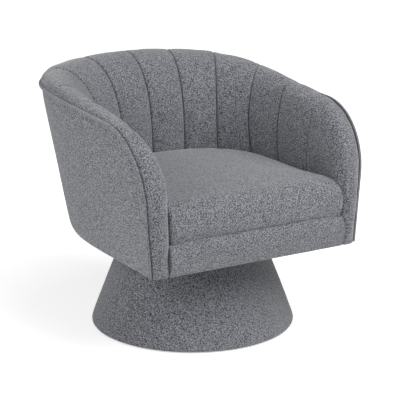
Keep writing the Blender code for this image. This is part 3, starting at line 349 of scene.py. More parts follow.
class Station:
    """One cross-section through the padding.

    across points from the seat outward, up points from the seat level to the rim, and
    base is the point on the inner face where the roll of the padding starts.
    """

    def __init__(self, base, across, up, rise, below, share=1.0):
        self.base, self.across, self.up = base, across, up
        self.rise, self.below = rise, below
        self.foot_reach = outer_reach(base, across, BODY_Z)
        self.flare = (outer_reach(base, across, RIM_Z) - self.foot_reach) / (RIM_Z - BODY_Z)
        self.width = self.reach(rise)
        rim = self.place(self.width, rise)
        self.normal = outer_normal(rim.x, rim.y, rim.z)
        self.slant = 1 / max(across.dot(self.normal), 0.5)
        self.backness = (1 - share) ** ROLL_FALL
        self.corner = ROLL_CORNER_SET * math.sin(math.pi * min(share / ROLL_CORNER_END, 1.0)) ** 2
        self.tuck = REAR_TUCK * ease(2 - 2 * ease(share))

    def place(self, out, high):
        return self.base + self.across * out + self.up * high

    def reach(self, high):
        """Distance from the inner face to the outer surface at a height above the base."""
        return self.foot_reach + self.flare * (self.base.z + self.up.z * high - BODY_Z)

    def inside(self, high, inset):
        """Distance from the inner face to a surface that lies inset within the outer one."""
        above = self.base.z + self.up.z * high - BODY_Z
        draw = max(0.0, 1 - above / REAR_TUCK_HEIGHT) ** 2 * self.tuck
        return self.reach(high) - (inset + draw) * self.slant

    def crest(self):
        """Place of the highest point of the roll."""
        out = max(self.width * ROLL_ARM_SHARE, self.width - ROLL_BACK_SET - self.corner)
        return out, self.rise + mix(ARM_ROLL, BACK_ROLL, self.backness)

    def face(self, puff, seam):
        """Points of the face, from its foot over the crest down into the piping's groove."""
        crest_out, crest_high = self.crest()
        power = 2 / ROLL_SQUARENESS
        points = [(seam - puff, -self.below * (1 - k / FOOT_ROWS)) for k in range(FOOT_ROWS)]
        seam_left = mix(*SEAM_LEFT, self.backness)
        for k in range(FACE_ROWS + 1):
            turn = math.pi / 2 * k / FACE_ROWS
            lift = puff * mix(1.0, ROLL_PUFF_SHARE, k / FACE_ROWS)
            lift -= seam * mix(1.0, seam_left, ease(k / FACE_ROWS * 1.6 - 0.6))
            out = crest_out * (1 - math.cos(turn) ** power) - lift * math.cos(turn)
            points.append((out, crest_high * math.sin(turn) ** power + lift * math.sin(turn)))
        groove = self.inside(self.rise, PIPING_SINK + GROOVE_REACH * piping_radius())
        foot = self.rise - PIPING_GROOVE
        for k in range(1, ROLL_ROWS + 1):
            turn = math.pi / 2 * k / ROLL_ROWS
            lift = (puff * ROLL_PUFF_SHARE - seam * seam_left) * (1 - k / ROLL_ROWS)
            lip = ROLL_LIP * self.backness * math.sin(turn) ** 4
            out = mix(crest_out, groove, math.sin(turn) ** power) + lift * math.sin(turn)
            out += lip * max(math.cos(turn), 0.0) ** 0.5
            high = mix(foot, crest_high, math.cos(turn) ** power) + lift * math.cos(turn)
            points.append((out, high))
        return points

    def pad(self, puff, seam):
        """Closed outline of the padding, with the rows that are held to the frame last."""
        points = self.face(puff, seam)
        held = self.rise - PAD_OVER_RAIL
        edge = self.inside(held, COVER_THICKNESS + GAP)
        points += [(edge, self.rise - PAD_OVER_RAIL / 3), (edge, held), (PAD_THICKNESS, held)]
        points += [(PAD_THICKNESS, 0.0), (PAD_THICKNESS, -self.below)]
        return [self.place(out, high) for out, high in points]

    def rim_point(self, inset):
        """Point of the rim, drawn in square to the outer surface."""
        return self.place(self.width, self.rise) - self.normal * inset


class FrontStation(Station):
    """A cross-section through the front of the arm, where the roll turns down and flattens."""

    def __init__(self, base, across, up, rise, below, frontness, lowness):
        super().__init__(base, across, up, rise, below)
        self.frontness = frontness
        self.roll = mix(ARM_ROLL, FRONT_ROLL, frontness) - FRONT_FOOT_SET * lowness

    def crest(self):
        out = self.width * mix(ROLL_ARM_SHARE, ROLL_FRONT_SHARE, self.frontness)
        return out, self.rise + self.roll


def back_station(distance):
    """Section on the back or the arm at a distance along the inner line."""
    turn = math.pi / 2 * (min(distance, PANEL_START) / PANEL_START) ** FAN_BEND
    across = Vector((math.sin(turn), math.cos(turn), 0.0))
    base = Vector((*inner_point(distance), SEAT_Z))
    share = min(distance / PANEL_START, 1.0)
    rise = RIM_Z - SEAT_Z
    for _ in range(6):
        made = Station(base, across, Vector((0, 0, 1)), rise, SEAT_Z - FRAME_Z, share)
        rise = rim_height(made.place(made.width, 0).y) - SEAT_Z
    return made


def front_station(share):
    """Section through the front of the arm, from the last seam (0) to the underside (1)."""
    start_turn = math.asin((CORNER_Y - PANEL_Y) / ARM_CORNER)
    corner_run = (math.pi / 2 - start_turn) * ARM_CORNER
    run = share * (corner_run + RIM_Z - ARM_CORNER - BODY_Z)
    turn = min(start_turn + run / ARM_CORNER, math.pi / 2)
    y = CORNER_Y - ARM_CORNER * math.sin(turn)
    z = RIM_Z - ARM_CORNER * (1 - math.cos(turn)) - max(0.0, run - corner_run)
    pivot = Vector((SEAT_HALF_WIDTH, PANEL_Y, min(z, PANEL_PIVOT_Z)))
    rim = Vector((SEAT_HALF_WIDTH, y, z))
    up = (rim - pivot).normalized()
    frontness = ease(share / FRONT_TURN_SHARE)
    rise = mix(rim_height(PANEL_Y) - SEAT_Z, FRONT_ROLL_DEPTH, frontness)
    depth = (rim - pivot).length - PANEL_PIVOT_RADIUS
    low_share = (PANEL_PIVOT_Z - z) / (PANEL_PIVOT_Z - FRAME_Z) / FRONT_LOW_SHARE
    lowness = min(max(low_share, 0.0), 1.0)
    depth = mix(depth, FRONT_RETURN - GAP, lowness)
    across = Vector((1, 0, 0))
    return FrontStation(rim - up * rise, across, up, rise, depth - rise, frontness, lowness)


def side_station(y):
    """Upright section through the straight part of the arm."""
    base = Vector((SEAT_HALF_WIDTH, y, SEAT_Z))
    return Station(base, Vector((1, 0, 0)), Vector((0, 0, 1)), rim_height(y) - SEAT_Z, 0.0)


def piping_radius():
    return bpy.context.scene.chair_sizes.piping_radius


def flipped(loop, side):
    return [Vector((point.x * side, point.y, point.z)) for point in loop]


def loft(sections, closed=False):
    """A bmesh skinned over loops of equal length, with its ends capped or joined."""
    mesh = bmesh.new()
    rings = [[mesh.verts.new(point) for point in loop] for loop in sections]
    size = len(rings[0])
    pairs = list(zip(rings, rings[1:]))
    if closed:
        pairs.append((rings[-1], rings[0]))
    for near, far in pairs:
        for k in range(size):
            after = (k + 1) % size
            mesh.faces.new((near[k], near[after], far[after], far[k]))
    if not closed:
        mesh.faces.new(rings[0])
        mesh.faces.new(rings[-1])
    bmesh.ops.recalc_face_normals(mesh, faces=mesh.faces)
    return mesh


def turned(profile, steps):
    """A solid of revolution about Z from a closed profile of (radius, height) points."""
    turns = [math.tau * k / steps for k in range(steps)]
    return loft([[Vector((r * math.cos(turn), r * math.sin(turn), z)) for r, z in profile]
                 for turn in turns], closed=True)


def keep_crisp(data, lines):
    """Keeps end caps and sewn lines crisp, where lines holds the indices of a line's points."""
    crease = data.attributes.new("crease_edge", "FLOAT", "EDGE")
    caps = [face for face in data.polygons if face.loop_total > 4]
    edges = [data.loops[loop].edge_index for face in caps for loop in face.loop_indices]
    for edge in edges:
        data.edges[edge].use_edge_sharp = True
    edges += [edge.index for edge in data.edges if lines.issuperset(edge.vertices)]
    for edge in edges:
        crease.data[edge].value = 1.0


def placed(name, data):
    """A new object in the scene."""
    made = bpy.data.objects.new(name, data)
    bpy.context.scene.collection.objects.link(made)
    return made


def piece(name, mesh, nodes, cover=None, body="seat", levels=0,
          lines=frozenset()):
    """A named piece made from a bmesh, which rides on a body and stands for CAD nodes."""
    data = bpy.data.meshes.new(name)
    mesh.to_mesh(data)
    mesh.free()
    data.shade_smooth()
    keep_crisp(data, lines)
    data.materials.append(cover or upholstery())
    made = placed(name, data)
    if levels:
        refine(made, levels)
    if nodes:
        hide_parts(*nodes)
    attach(made, body)
    return made


def apply_shape(made):
    """Turns the result of the piece's modifiers into its mesh."""
    shaped = made.evaluated_get(bpy.context.evaluated_depsgraph_get())
    data = bpy.data.meshes.new_from_object(shaped)
    old = made.data
    made.modifiers.clear()
    made.data = data
    bpy.data.meshes.remove(old)
    made.data.name = made.name


def shape(made, name, kind, **settings):
    """Shapes a piece with a modifier, whose result becomes its mesh."""
    step = made.modifiers.new(name, kind)
    for label, value in settings.items():
        setattr(step, label, value)
    apply_shape(made)


def refine(made, levels=1):
    """Subdivides a piece smoothly."""
    shape(made, "smooth surface", "SUBSURF", levels=levels, render_levels=levels)


def fill(made, held, cap, slack=0.0):
    """Fills a padded piece under pressure as cloth, and keeps each point within a cap."""
    group = made.vertex_groups.new(name="held")
    group.add(held, 1.0, "REPLACE")
    start = [vertex.co.copy() for vertex in made.data.vertices]
    cloth = made.modifiers.new("filling", "CLOTH")
    for label, value in CLOTH.items():
        setattr(cloth.settings, label, value)
    cloth.settings.uniform_pressure_force = bpy.context.scene.chair_sizes.pressure
    cloth.settings.effector_weights.gravity = 0
    cloth.settings.shrink_min = -slack
    cloth.collision_settings.use_collision = False
    cloth.point_cache.frame_start = 1
    cloth.point_cache.frame_end = FILL_FRAMES
    for number in range(1, FILL_FRAMES + 1):
        bpy.context.scene.frame_set(number)
    apply_shape(made)
    for vertex, before in zip(made.data.vertices, start):
        moved = vertex.co - before
        if moved.length > cap:
            vertex.co = before + moved.normalized() * cap
    made.vertex_groups.clear()
    bpy.context.scene.frame_set(1)


def ripple(place, size, amount):
    """Small even waviness of hand-fitted cloth at a place."""
    return noise.noise(place / size) * amount


class Tree:
    """Builds a node tree from named nodes."""

    def __init__(self, tree):
        self.tree = tree
        self.count = 0

    def give(self, node, inputs):
        """Links a node's inputs to sockets, or sets them to plain values."""
        for name, value in inputs.items():
            if isinstance(value, bpy.types.NodeSocket):
                self.tree.links.new(value, node.inputs[name])
            else:
                node.inputs[name].default_value = value

    def node(self, kind, inputs=None, **settings):
        made = self.tree.nodes.new(kind)
        made.location = (220 * (self.count % 8), -260 * (self.count // 8))
        self.count += 1
        for name, value in settings.items():
            setattr(made, name, value)
        self.give(made, inputs or {})
        return made

    def math(self, operation, first, second=0.0, third=0.0, clamp=False):
        values = {0: first, 1: second, 2: third}
        return self.node("ShaderNodeMath", values, operation=operation, use_clamp=clamp).outputs[0]

    def scaled(self, value, factor, start, clamp=False):
        """A value times a factor, plus a start."""
        return self.math("MULTIPLY_ADD", value, factor, start, clamp)

    def vector(self, operation, first, second):
        values = {0: first, 1: second}
        return self.node("ShaderNodeVectorMath", values, operation=operation).outputs[0]

    def ramp(self, factor, stops):
        made = self.node("ShaderNodeValToRGB", {"Fac": factor})
        for element, (place, value) in zip(made.color_ramp.elements, stops):
            element.position = place
            element.color = (value, value, value, 1.0)
        return made.outputs["Color"]

    def blend(self, factor, first, second, kind="MIX"):
        values = {0: factor, 6: first, 7: second}
        return self.node("ShaderNodeMix", values, data_type="RGBA", blend_type=kind).outputs[2]

    def noise(self, place, scale, detail=2.0, roughness=0.5):
        made = self.node("ShaderNodeTexNoise", {
            "Vector": place, "Scale": scale, "Detail": detail, "Roughness": roughness})
        return made.outputs["Fac"]


def pattern(name, **inputs):
    """Makes a function that lays out nodes into one that gives their group, built once."""
    kinds = {3: "NodeSocketVector", 4: "NodeSocketColor"}

    def wrap(lay_out):
        def group():
            if name in bpy.data.node_groups:
                return bpy.data.node_groups[name]
            made = bpy.data.node_groups.new(name, "ShaderNodeTree")
            for label, value in inputs.items():
                kind = kinds[len(value)] if isinstance(value, tuple) else "NodeSocketFloat"
                socket = made.interface.new_socket(label, in_out="INPUT", socket_type=kind)
                socket.default_value = value
            tree = Tree(made)
            given = tree.node("NodeGroupInput").outputs
            place = tree.node("ShaderNodeTexCoord").outputs["Object"]
            results = lay_out(tree, given, place)
            for label in results:
                kind = "NodeSocketColor" if label == "Color" else "NodeSocketFloat"
                made.interface.new_socket(label, in_out="OUTPUT", socket_type=kind)
            tree.node("NodeGroupOutput", results)
            return made
        return group
    return wrap


@pattern("heather weave", Dark=(0.08, 0.085, 0.1, 1), Light=(0.33, 0.34, 0.37, 1), Nub=0.0021,
         Fleck=1.0)
def heather_weave(tree, given, place):
    """Yarn colours, with painted shade in the gaps between the nubs, and surface height of the nubbly
    heathered fabric.
    """
    straight = tree.vector("MULTIPLY", place, WEAVE_STRETCH)
    place = tree.node("ShaderNodeVectorRotate", {"Vector": straight, "Rotation": WEAVE_TURN},
                      rotation_type="EULER_XYZ").outputs[0]
    scale = tree.math("DIVIDE", 1.0, given["Nub"])
    bend = tree.node("ShaderNodeTexNoise", {"Vector": place, "Scale": 260.0, "Detail": 1.0})
    shift = tree.vector("SUBTRACT", bend.outputs["Color"], (0.5, 0.5, 0.5))
    moved = tree.vector("MULTIPLY", shift, (WEAVE_BEND, WEAVE_BEND, WEAVE_BEND))
    bent = tree.vector("ADD", place, moved)
    nubs = tree.node("ShaderNodeTexVoronoi", {
        "Vector": bent, "Scale": scale, "Randomness": 0.85}).outputs
    yarn = tree.node("ShaderNodeSeparateColor", {"Color": nubs["Color"]}).outputs[0]
    twist = tree.noise(place, tree.math("MULTIPLY", scale, 0.96), 0.0)
    broad = tree.noise(place, 26.0)
    fine = tree.noise(place, tree.math("MULTIPLY", scale, 2.4), 1.0)
    loops = tree.ramp(twist, ((0.40, 0.0), (0.60, 1.0)))
    share = tree.scaled(loops, 1.08, -0.16)
    for part, weight in ((yarn, 0.20), (broad, 0.06)):
        share = tree.scaled(part, weight, share)
    centred = tree.math("SUBTRACT", share, 0.5)
    share = tree.scaled(centred, given["Fleck"], 0.5, clamp=True)
    # Painted shade: the gaps between the nubs are darkened for the shadows the nubs cast on each
    # other
    nub_gap_shade = tree.ramp(nubs["Distance"], ((0.25, 1.0), (0.75, 0.72)))
    colour = tree.blend(share, given["Dark"], given["Light"])
    dome = tree.math("SUBTRACT", 1.0, nubs["Distance"])
    height = tree.scaled(fine, 0.35, tree.math("MULTIPLY", dome, 0.75))
    return {"Color": tree.blend(1.0, colour, nub_gap_shade, "MULTIPLY"),
            "Height": tree.scaled(loops, 0.25, height)}


@pattern("wood figure", Dark=(0.4, 0.27, 0.15, 1), Light=(0.7, 0.53, 0.33, 1),
         Stretch=(1.0, 12.0, 12.0), Scale=9.0)
def wood_figure(tree, given, place):
    """Grain colour and height of bare timber and board, along a chosen direction."""
    long = tree.vector("MULTIPLY", place, given["Stretch"])
    rings = tree.noise(long, given["Scale"], 6.0, 0.65)
    fibre = tree.noise(long, tree.math("MULTIPLY", given["Scale"], 9.0), 3.0, 0.6)
    share = tree.scaled(fibre, 0.3, tree.math("MULTIPLY", rings, 0.8))
    figure = tree.ramp(share, ((0.38, 0.0), (0.72, 1.0)))
    return {"Color": tree.blend(figure, given["Dark"], given["Light"]), "Height": fibre}


@pattern("thread lines", Dark=(0.01, 0.01, 0.01, 1), Light=(0.03, 0.03, 0.03, 1), Pitch=0.0012)
def thread_lines(tree, given, place):
    """Crossing threads of a thin cloth or strap."""
    turns = tree.math("DIVIDE", math.tau, given["Pitch"])
    apart = tree.node("ShaderNodeSeparateXYZ", {0: place}).outputs
    waves = [tree.math("SINE", tree.math("MULTIPLY", apart[axis], turns)) for axis in (0, 1)]
    cross = tree.scaled(tree.math("MULTIPLY", *waves), 0.5, 0.5)
    worn = tree.math("ADD", tree.noise(place, 420.0), 0.5)
    share = tree.math("MULTIPLY", cross, worn, clamp=True)
    return {"Color": tree.blend(share, given["Dark"], given["Light"]), "Height": share}


@pattern("brushed marks", Colour=(0.62, 0.63, 0.65, 1), Roughness=0.35)
def brushed_marks(tree, given, place):
    """Fine directional marks and spangle of plated steel."""
    marks = tree.noise(tree.vector("MULTIPLY", place, (1.0, 30.0, 30.0)), 60.0, 4.0, 0.7)
    spangle = tree.node("ShaderNodeTexVoronoi", {"Vector": place, "Scale": 190.0})
    grey = tree.node("ShaderNodeSeparateColor", {"Color": spangle.outputs["Color"]}).outputs[0]
    shade = tree.scaled(grey, 0.16, 0.86)
    return {"Color": tree.blend(1.0, given["Colour"], shade, "MULTIPLY"),
            "Roughness": tree.scaled(marks, 0.22, given["Roughness"]),
            "Height": marks}


def finish(name, group, values, roughness, bump, depth, metallic=0.0, sheen=0.0):
    """A material whose colour and height come from a pattern's node group."""
    if name in bpy.data.materials:
        return bpy.data.materials[name]
    made = bpy.data.materials.new(name)
    made.use_nodes = True
    tree = Tree(made.node_tree)
    given = tree.node("ShaderNodeGroup", values, node_tree=group()).outputs
    relief = tree.node("ShaderNodeBump", {
        "Height": given["Height"], "Strength": bump, "Distance": depth})
    shader = made.node_tree.nodes["Principled BSDF"]
    tree.give(shader, {
        "Base Color": given["Color"], "Roughness": roughness, "Metallic": metallic,
        "Sheen Weight": sheen, "Sheen Roughness": 0.5, "Normal": relief.outputs["Normal"]})
    if "Roughness" in given:
        tree.give(shader, {"Roughness": given["Roughness"]})
    return made


# Finish of each of the frame's slots: name, pattern, its values, roughness, relief and its depth
FINISHES = {
    "plywood": ("raw plywood", wood_figure, {
        "Dark": (0.46, 0.32, 0.18, 1), "Light": (0.68, 0.53, 0.34, 1),
        "Stretch": (1.0, 8.0, 60.0), "Scale": 7.0}, 0.68, 0.25, 0.0004),
    "timber": ("raw timber", wood_figure, {
        "Dark": (0.52, 0.35, 0.19, 1), "Light": (0.76, 0.59, 0.38, 1),
        "Stretch": (1.5, 10.0, 14.0), "Scale": 6.0}, 0.60, 0.3, 0.0004),
    "fibreboard": ("raw fibreboard", wood_figure, {
        "Dark": (0.30, 0.21, 0.13, 1), "Light": (0.44, 0.33, 0.21, 1),
        "Stretch": (6.0, 6.0, 6.0), "Scale": 60.0}, 0.82, 0.3, 0.0003),
    "lining": ("black lining", thread_lines, {
        "Dark": (0.008, 0.008, 0.009, 1), "Light": (0.03, 0.03, 0.032, 1),
        "Pitch": 0.0016}, 0.95, 0.4, 0.0003),
    "elastic_webbing": ("elastic webbing", thread_lines, {
        "Dark": (0.05, 0.042, 0.034, 1), "Light": (0.15, 0.13, 0.10, 1),
        "Pitch": 0.0024}, 0.85, 0.5, 0.0005),
    "zinc_steel": ("zinc steel", brushed_marks, {}, 0.35, 0.08, 0.0002, 1.0),
    "bearing_steel": ("bearing steel", brushed_marks, {
        "Colour": (0.75, 0.75, 0.76, 1), "Roughness": 0.12}, 0.18, 0.03, 0.0001, 1.0),
    "glide_plastic": ("glide plastic", wood_figure, {
        "Dark": (0.022, 0.022, 0.023, 1), "Light": (0.04, 0.04, 0.042, 1),
        "Stretch": (4.0, 4.0, 4.0), "Scale": 120.0}, 0.45, 0.15, 0.0001),
}


def upholstery(name="heathered fabric", nub=1.0, fleck=1.1, shade=1.0):
    """The covering fabric, with shares of the usual nub, contrast and brightness."""
    look = bpy.context.scene.fabric_look
    values = {
        "Dark": (*[part * shade for part in look.dark], 1.0),
        "Light": (*[part * shade for part in look.light], 1.0),
        "Nub": look.nub * nub,
        "Fleck": fleck,
    }
    return finish(name, heather_weave, values, look.roughness, 1.0, WEAVE_RELIEF,
                  sheen=look.sheen)


def channel_columns():
    """Columns of the channelled back: distance along it, swelling, seam depth and bow."""
    sizes = bpy.context.scene.chair_sizes
    columns = []
    for number, (near, far) in enumerate(zip(SEAM_SHARES, SEAM_SHARES[1:])):
        start, end = PANEL_START * near, PANEL_START * far
        width = end - start
        depths = SEAM_DEPTHS[number:number + 2]
        offsets = list(zip(SEAM_OFFSETS, SEAM_PROFILE))
        offsets += [(mix(SEAM_OFFSETS[-1], width / 2, k / 6), 0.0) for k in range(1, 7)]
        sides = [(offset, depths[0] * share) for offset, share in offsets]
        sides += [(width - offset, depths[1] * share) for offset, share in offsets[-2::-1]]
        for offset, seam in sides[1 if number else 0:]:
            swell = CHANNEL_PUFFS[number] * (1 - (2 * offset / width - 1) ** 2) ** 0.5
            bow = mix(*SEAM_BOWS[number:number + 2], offset / width)
            columns.append((start + offset, swell * sizes.puff, seam * sizes.seam, bow))
    return columns


def bowed(station, loop, bow):
    """A section with its middle drawn towards the back's centre, as its seam runs."""
    aside = Vector((-station.across.y, station.across.x, 0)) * bow
    crest = station.crest()[1]
    for k in range(FOOT_ROWS, FOOT_ROWS + FACE_ROWS):
        share = min(max((loop[k].z - SEAT_Z) / crest, 0.0), 1.0)
        loop[k] = loop[k] + aside * math.sin(math.pi * share) ** 0.8
    return loop


def held_points(sections, sewn):
    """Points of padded sections that the frame holds, or that lie on a sewn section."""
    size = len(sections[0])
    free = range(FOOT_ROWS, FOOT_ROWS + FACE_ROWS + ROLL_ROWS - 1)
    return [i * size + k for i in range(len(sections)) for k in range(size)
            if i in sewn or k not in free]


def channelled_back():
    """The sewn inner back and arms with their ten stuffed channels."""
    columns = channel_columns()
    half = []
    for distance, swell, seam, bow in columns:
        station = back_station(distance)
        half.append(bowed(station, station.pad(swell, seam), bow))
    sections = [flipped(loop, -1) for loop in half[:0:-1]] + half
    middle = len(half) - 1
    sewn, stitched = {0, 2 * middle}, set()
    for index, (distance, _, seam, _) in enumerate(columns):
        pair = {middle + index, middle - index}
        if seam:
            sewn |= pair
        if any(abs(distance - PANEL_START * share) < GAP / 10 for share in SEAM_SHARES[:-1]):
            stitched |= pair
    size = len(sections[0])
    lines = {i * size + k for i in stitched for k in range(FOOT_ROWS + FACE_ROWS + ROLL_ROWS)}
    nodes = [f"channel_{side}_{k}" for side in ("right", "left") for k in range(1, 6)]
    made = piece("channelled_back", loft(sections), nodes, lines=lines)
    fill(made, held_points(sections, sewn), cap=0.0025, slack=0.006)
    refine(made)


def arm_fronts():
    """The smooth panels that fall over the arm fronts to the underside."""
    steps = 34
    first = front_station(0.0)
    loops = [bowed(first, first.pad(0.0, SEAM_DEPTHS[-1]), SEAM_BOWS[-1])]
    for k in range(steps + 1):
        share = 0.008 + 0.972 * k / steps
        station = front_station(share)
        bow = SEAM_BOWS[-1] * ease(1 - share / 0.3)
        loops.append(bowed(station, station.pad(0.0008, 0.0), bow))
    for k in range(1, 5):
        turn = math.pi / 2 * k / 4
        inset = FRONT_EDGE * (1 - math.cos(turn))
        loops.append(front_station(0.98 + 0.02 * math.sin(turn)).pad(-inset, 0.0))
    held = held_points(loops, {0, len(loops) - 1})
    for name, side in (("right", 1), ("left", -1)):
        solid = loft([flipped(loop, side) for loop in loops])
        made = piece(f"arm_front_{name}", solid, [f"arm_panel_{name}"])
        fill(made, held, cap=0.003, slack=0.004)
        refine(made)


def seat_outline(inset, front_inset, front_y, corner, bow):
    """Plan outline between the arms, from the front's middle round to it again."""
    wide = SEAT_HALF_WIDTH + CUSHION_REACH - inset
    snug = SEAT_HALF_WIDTH - 2 * GAP - inset
    narrow = SEAT_HALF_WIDTH - CHANNEL_PUFFS[-1] * 0.6 - inset
    depth = SEAT_DEPTH - CHANNEL_PUFFS[0] * 0.6 - inset
    front = front_y + front_inset
    half = [((wide - corner) * k / 8, front - bow * (1 - (k / 8) ** 2)) for k in range(9)]
    half += arc((wide - corner, front + corner), corner, -90, 0, 4)[1:]
    for k in (1, 2, 3):
        half.append((mix(wide, snug, ease((k - 1) / 3)), mix(front + corner, PANEL_Y, k / 4)))
    half += [(snug, PANEL_Y - 0.012), (narrow, PANEL_Y), (narrow, mix(PANEL_Y, STRAIGHT_Y, 0.5))]
    half += curve_quarter(narrow, depth, 14)
    return half + [(-x, y) for x, y in half[-2:0:-1]]


def cushion_rings(radius):
    """Rings up the cushion's side: side inset, front inset and height above its foot."""
    rings = [(0.008, 0.022, 0.0), (0.004, 0.017, 0.002), (0.003, 0.012, 0.009)]
    rings += [(0.002, 0.006, 0.019), (0.001, 0.002, 0.030), (0.0, 0.0, 0.042)]
    for k in range(9):
        turn = math.pi / 2 * k / 8
        inset = radius * CUSHION_SLOPE * (1 - math.cos(turn))
        high = CUSHION_THICKNESS + CUSHION_FULLNESS - radius * (1 - math.sin(turn))
        rings.append((inset * 0.12, inset, high))
    return rings


def seat_cushion():
    """The crowned seat, stuffed tight between the arms."""
    sizes = bpy.context.scene.chair_sizes
    front = BAND_TOP_Y + 0.001
    sections = []
    for inset, front_inset, high in cushion_rings(sizes.cushion_edge):
        outline = seat_outline(inset, front_inset, front, 0.007, 0.004)
        sections.append([Vector((x, y, CUSHION_Z + high)) for x, y in outline])
    edge = sections[-1]
    middle = Vector((0, (front + STRAIGHT_Y + SEAT_DEPTH) / 2, SEAT_Z + CUSHION_FULLNESS))
    for share in (0.9, 0.78, 0.62, 0.45, 0.28, 0.12):
        lift = Vector((0, 0, sizes.crown * (1 - share ** 2.6)))
        sections.append([middle + (point - middle) * share + lift for point in edge])
    made = piece("seat_cushion_cover", loft(sections), ["seat_cushion"],
                 upholstery("seat fabric", 1.08, 1.2))
    shape(made, "even mesh", "REMESH", mode="VOXEL", voxel_size=0.005, use_smooth_shade=True)
    low = CUSHION_Z + 0.004
    held = [vertex.index for vertex in made.data.vertices if vertex.co.z < low]
    fill(made, held, cap=0.005)
    shape(made, "relax", "SMOOTH", iterations=4, factor=0.5)
    for vertex in made.data.vertices:
        share = 1 - (vertex.co.z - CUSHION_Z) / CUSHION_DROOP_HEIGHT
        if share > 0 and vertex.co.y < RAIL_FRONT_Y - 0.004:
            vertex.co.z -= droop(vertex.co.x) * min(share, 1.0)
    refine(made)


def droop(x):
    """How far the top of the band falls towards its ends, and the cushion's edge with it."""
    return BAND_DROOP * min(abs(x) / SEAT_HALF_WIDTH, 1.0) ** 5


def band():
    """The padded band below the cushion, turned under the front rail."""
    back = RAIL_FRONT_Y - GAP
    low = BODY_Z - BAND_DROP
    foot_edge, top_edge = 0.008, 0.022
    half = SEAT_HALF_WIDTH + BAND_REACH
    sections = []
    for k in range(49):
        x = half * (2 * k / 48 - 1)
        top = BAND_TOP + BAND_RISE - droop(x)
        outline = [(back + COVER_HEM_WIDTH, BODY_Z), (back, BODY_Z)]
        outline += arc((BAND_FOOT_Y + foot_edge, low + foot_edge), foot_edge, 270, 180, 5)
        for j in range(1, 8):
            share = j / 8
            swell = 0.004 * math.sin(math.pi * share)
            y = mix(BAND_FOOT_Y, BAND_TOP_Y, share ** 0.8) - swell
            outline.append((y, mix(low + foot_edge, top - top_edge, share)))
        outline += arc((BAND_TOP_Y + top_edge, top - top_edge), top_edge, 180, 80, 6)
        outline += [(BAND_TOP_Y + 1.7 * top_edge, top - 0.5 * top_edge), (back, CUSHION_Z)]
        outline += [(back, BODY_Z + HEM_THICKNESS)]
        outline += [(back + COVER_HEM_WIDTH, BODY_Z + HEM_THICKNESS)]
        sections.append([Vector((x, y, z)) for y, z in outline])
    made = piece("band_cover", loft(sections), ["front_band"], levels=1)
    for vertex in made.data.vertices:
        if vertex.co.y < back - 0.004:
            vertex.co.y += ripple(vertex.co, 0.06, 0.0008)


def outer_column(station, top, hem_width):
    """Section of the outer panel at a station, from the piping's seam to its hem."""
    foot, high = BODY_Z - SEAT_Z, top - SEAT_Z
    hem, tack = foot + HEM_THICKNESS, high - 0.01
    loop = [(station.inside(high, 0.0068), high + 0.002), (station.inside(high, 0.0060), high)]
    for share in (0.975, 0.93, 0.85, 0.7, 0.55, 0.4, 0.25, 0.12, 0.06, 0.03, 0.012, 0.0):
        level = mix(hem, high - 0.003, share)
        swell = 0.003 * math.sin(math.pi * share) ** 0.6 - 0.001 - 0.0035 * share ** 30
        loop.append((station.inside(level, -swell), level))
    turn_in = station.inside(foot, hem_width)
    loop += [(station.inside(foot, HEM_THICKNESS), foot), (turn_in, foot), (turn_in, hem)]
    loop += [(station.inside(level, COVER_THICKNESS), level) for level in (hem, tack)]
    return [station.place(out, up) for out, up in loop]


def outer_panel():
    """The plain outer cover of the arms and back."""
    clear = piping_radius() * 0.9
    loops = []
    for k in range(61):
        station = back_station(CURVE_END * k / 60)
        loops.append(outer_column(station, station.rise + SEAT_Z - clear, COVER_HEM_WIDTH))
    straight = [mix(STRAIGHT_Y, CORNER_Y, k / 4) for k in range(1, 5)]
    edge = [(y, rim_height(y) - clear) for y in straight]
    edge += arc((CORNER_Y, RIM_Z - ARM_CORNER), ARM_CORNER - clear, 90, 180, 22)[1:]
    for y, top in edge:
        in_return = y < FRONT_Y + FRONT_RETURN + COVER_HEM_WIDTH
        hem_width = COVER_THICKNESS if in_return else COVER_HEM_WIDTH
        loops.append(outer_column(side_station(y), top, hem_width))
    whole = [flipped(loop, -1) for loop in loops[:0:-1]] + loops
    made = piece("outer_panel", loft(whole), ["outside_cover"],
                 upholstery("outer fabric", 1.15, 1.2), levels=1)
    for vertex in made.data.vertices:
        if vertex.co.z > BODY_Z + 0.01:
            out = Vector((vertex.co.x, vertex.co.y, 0)).normalized()
            vertex.co += out * ripple(vertex.co, 0.09, 0.0009)


def cord(half, radius, sides):
    """Round cord along a path that is mirrored at the back's middle."""
    path = flipped(half[:0:-1], -1) + half
    loops = []
    for k, point in enumerate(path):
        ahead = (path[min(k + 1, len(path) - 1)] - path[max(k - 1, 0)]).normalized()
        outward = Vector((point.x, point.y - STRAIGHT_Y, point.z * 0.3))
        side = (outward - ahead * outward.dot(ahead)).normalized()
        other = ahead.cross(side)
        thick = radius * (1 + ripple(point, 0.012, 0.05))
        turns = [math.tau * j / sides for j in range(sides)]
        loops.append([point + (side * math.cos(turn) + other * math.sin(turn)) * thick
                      for turn in turns])
    return loft(loops)


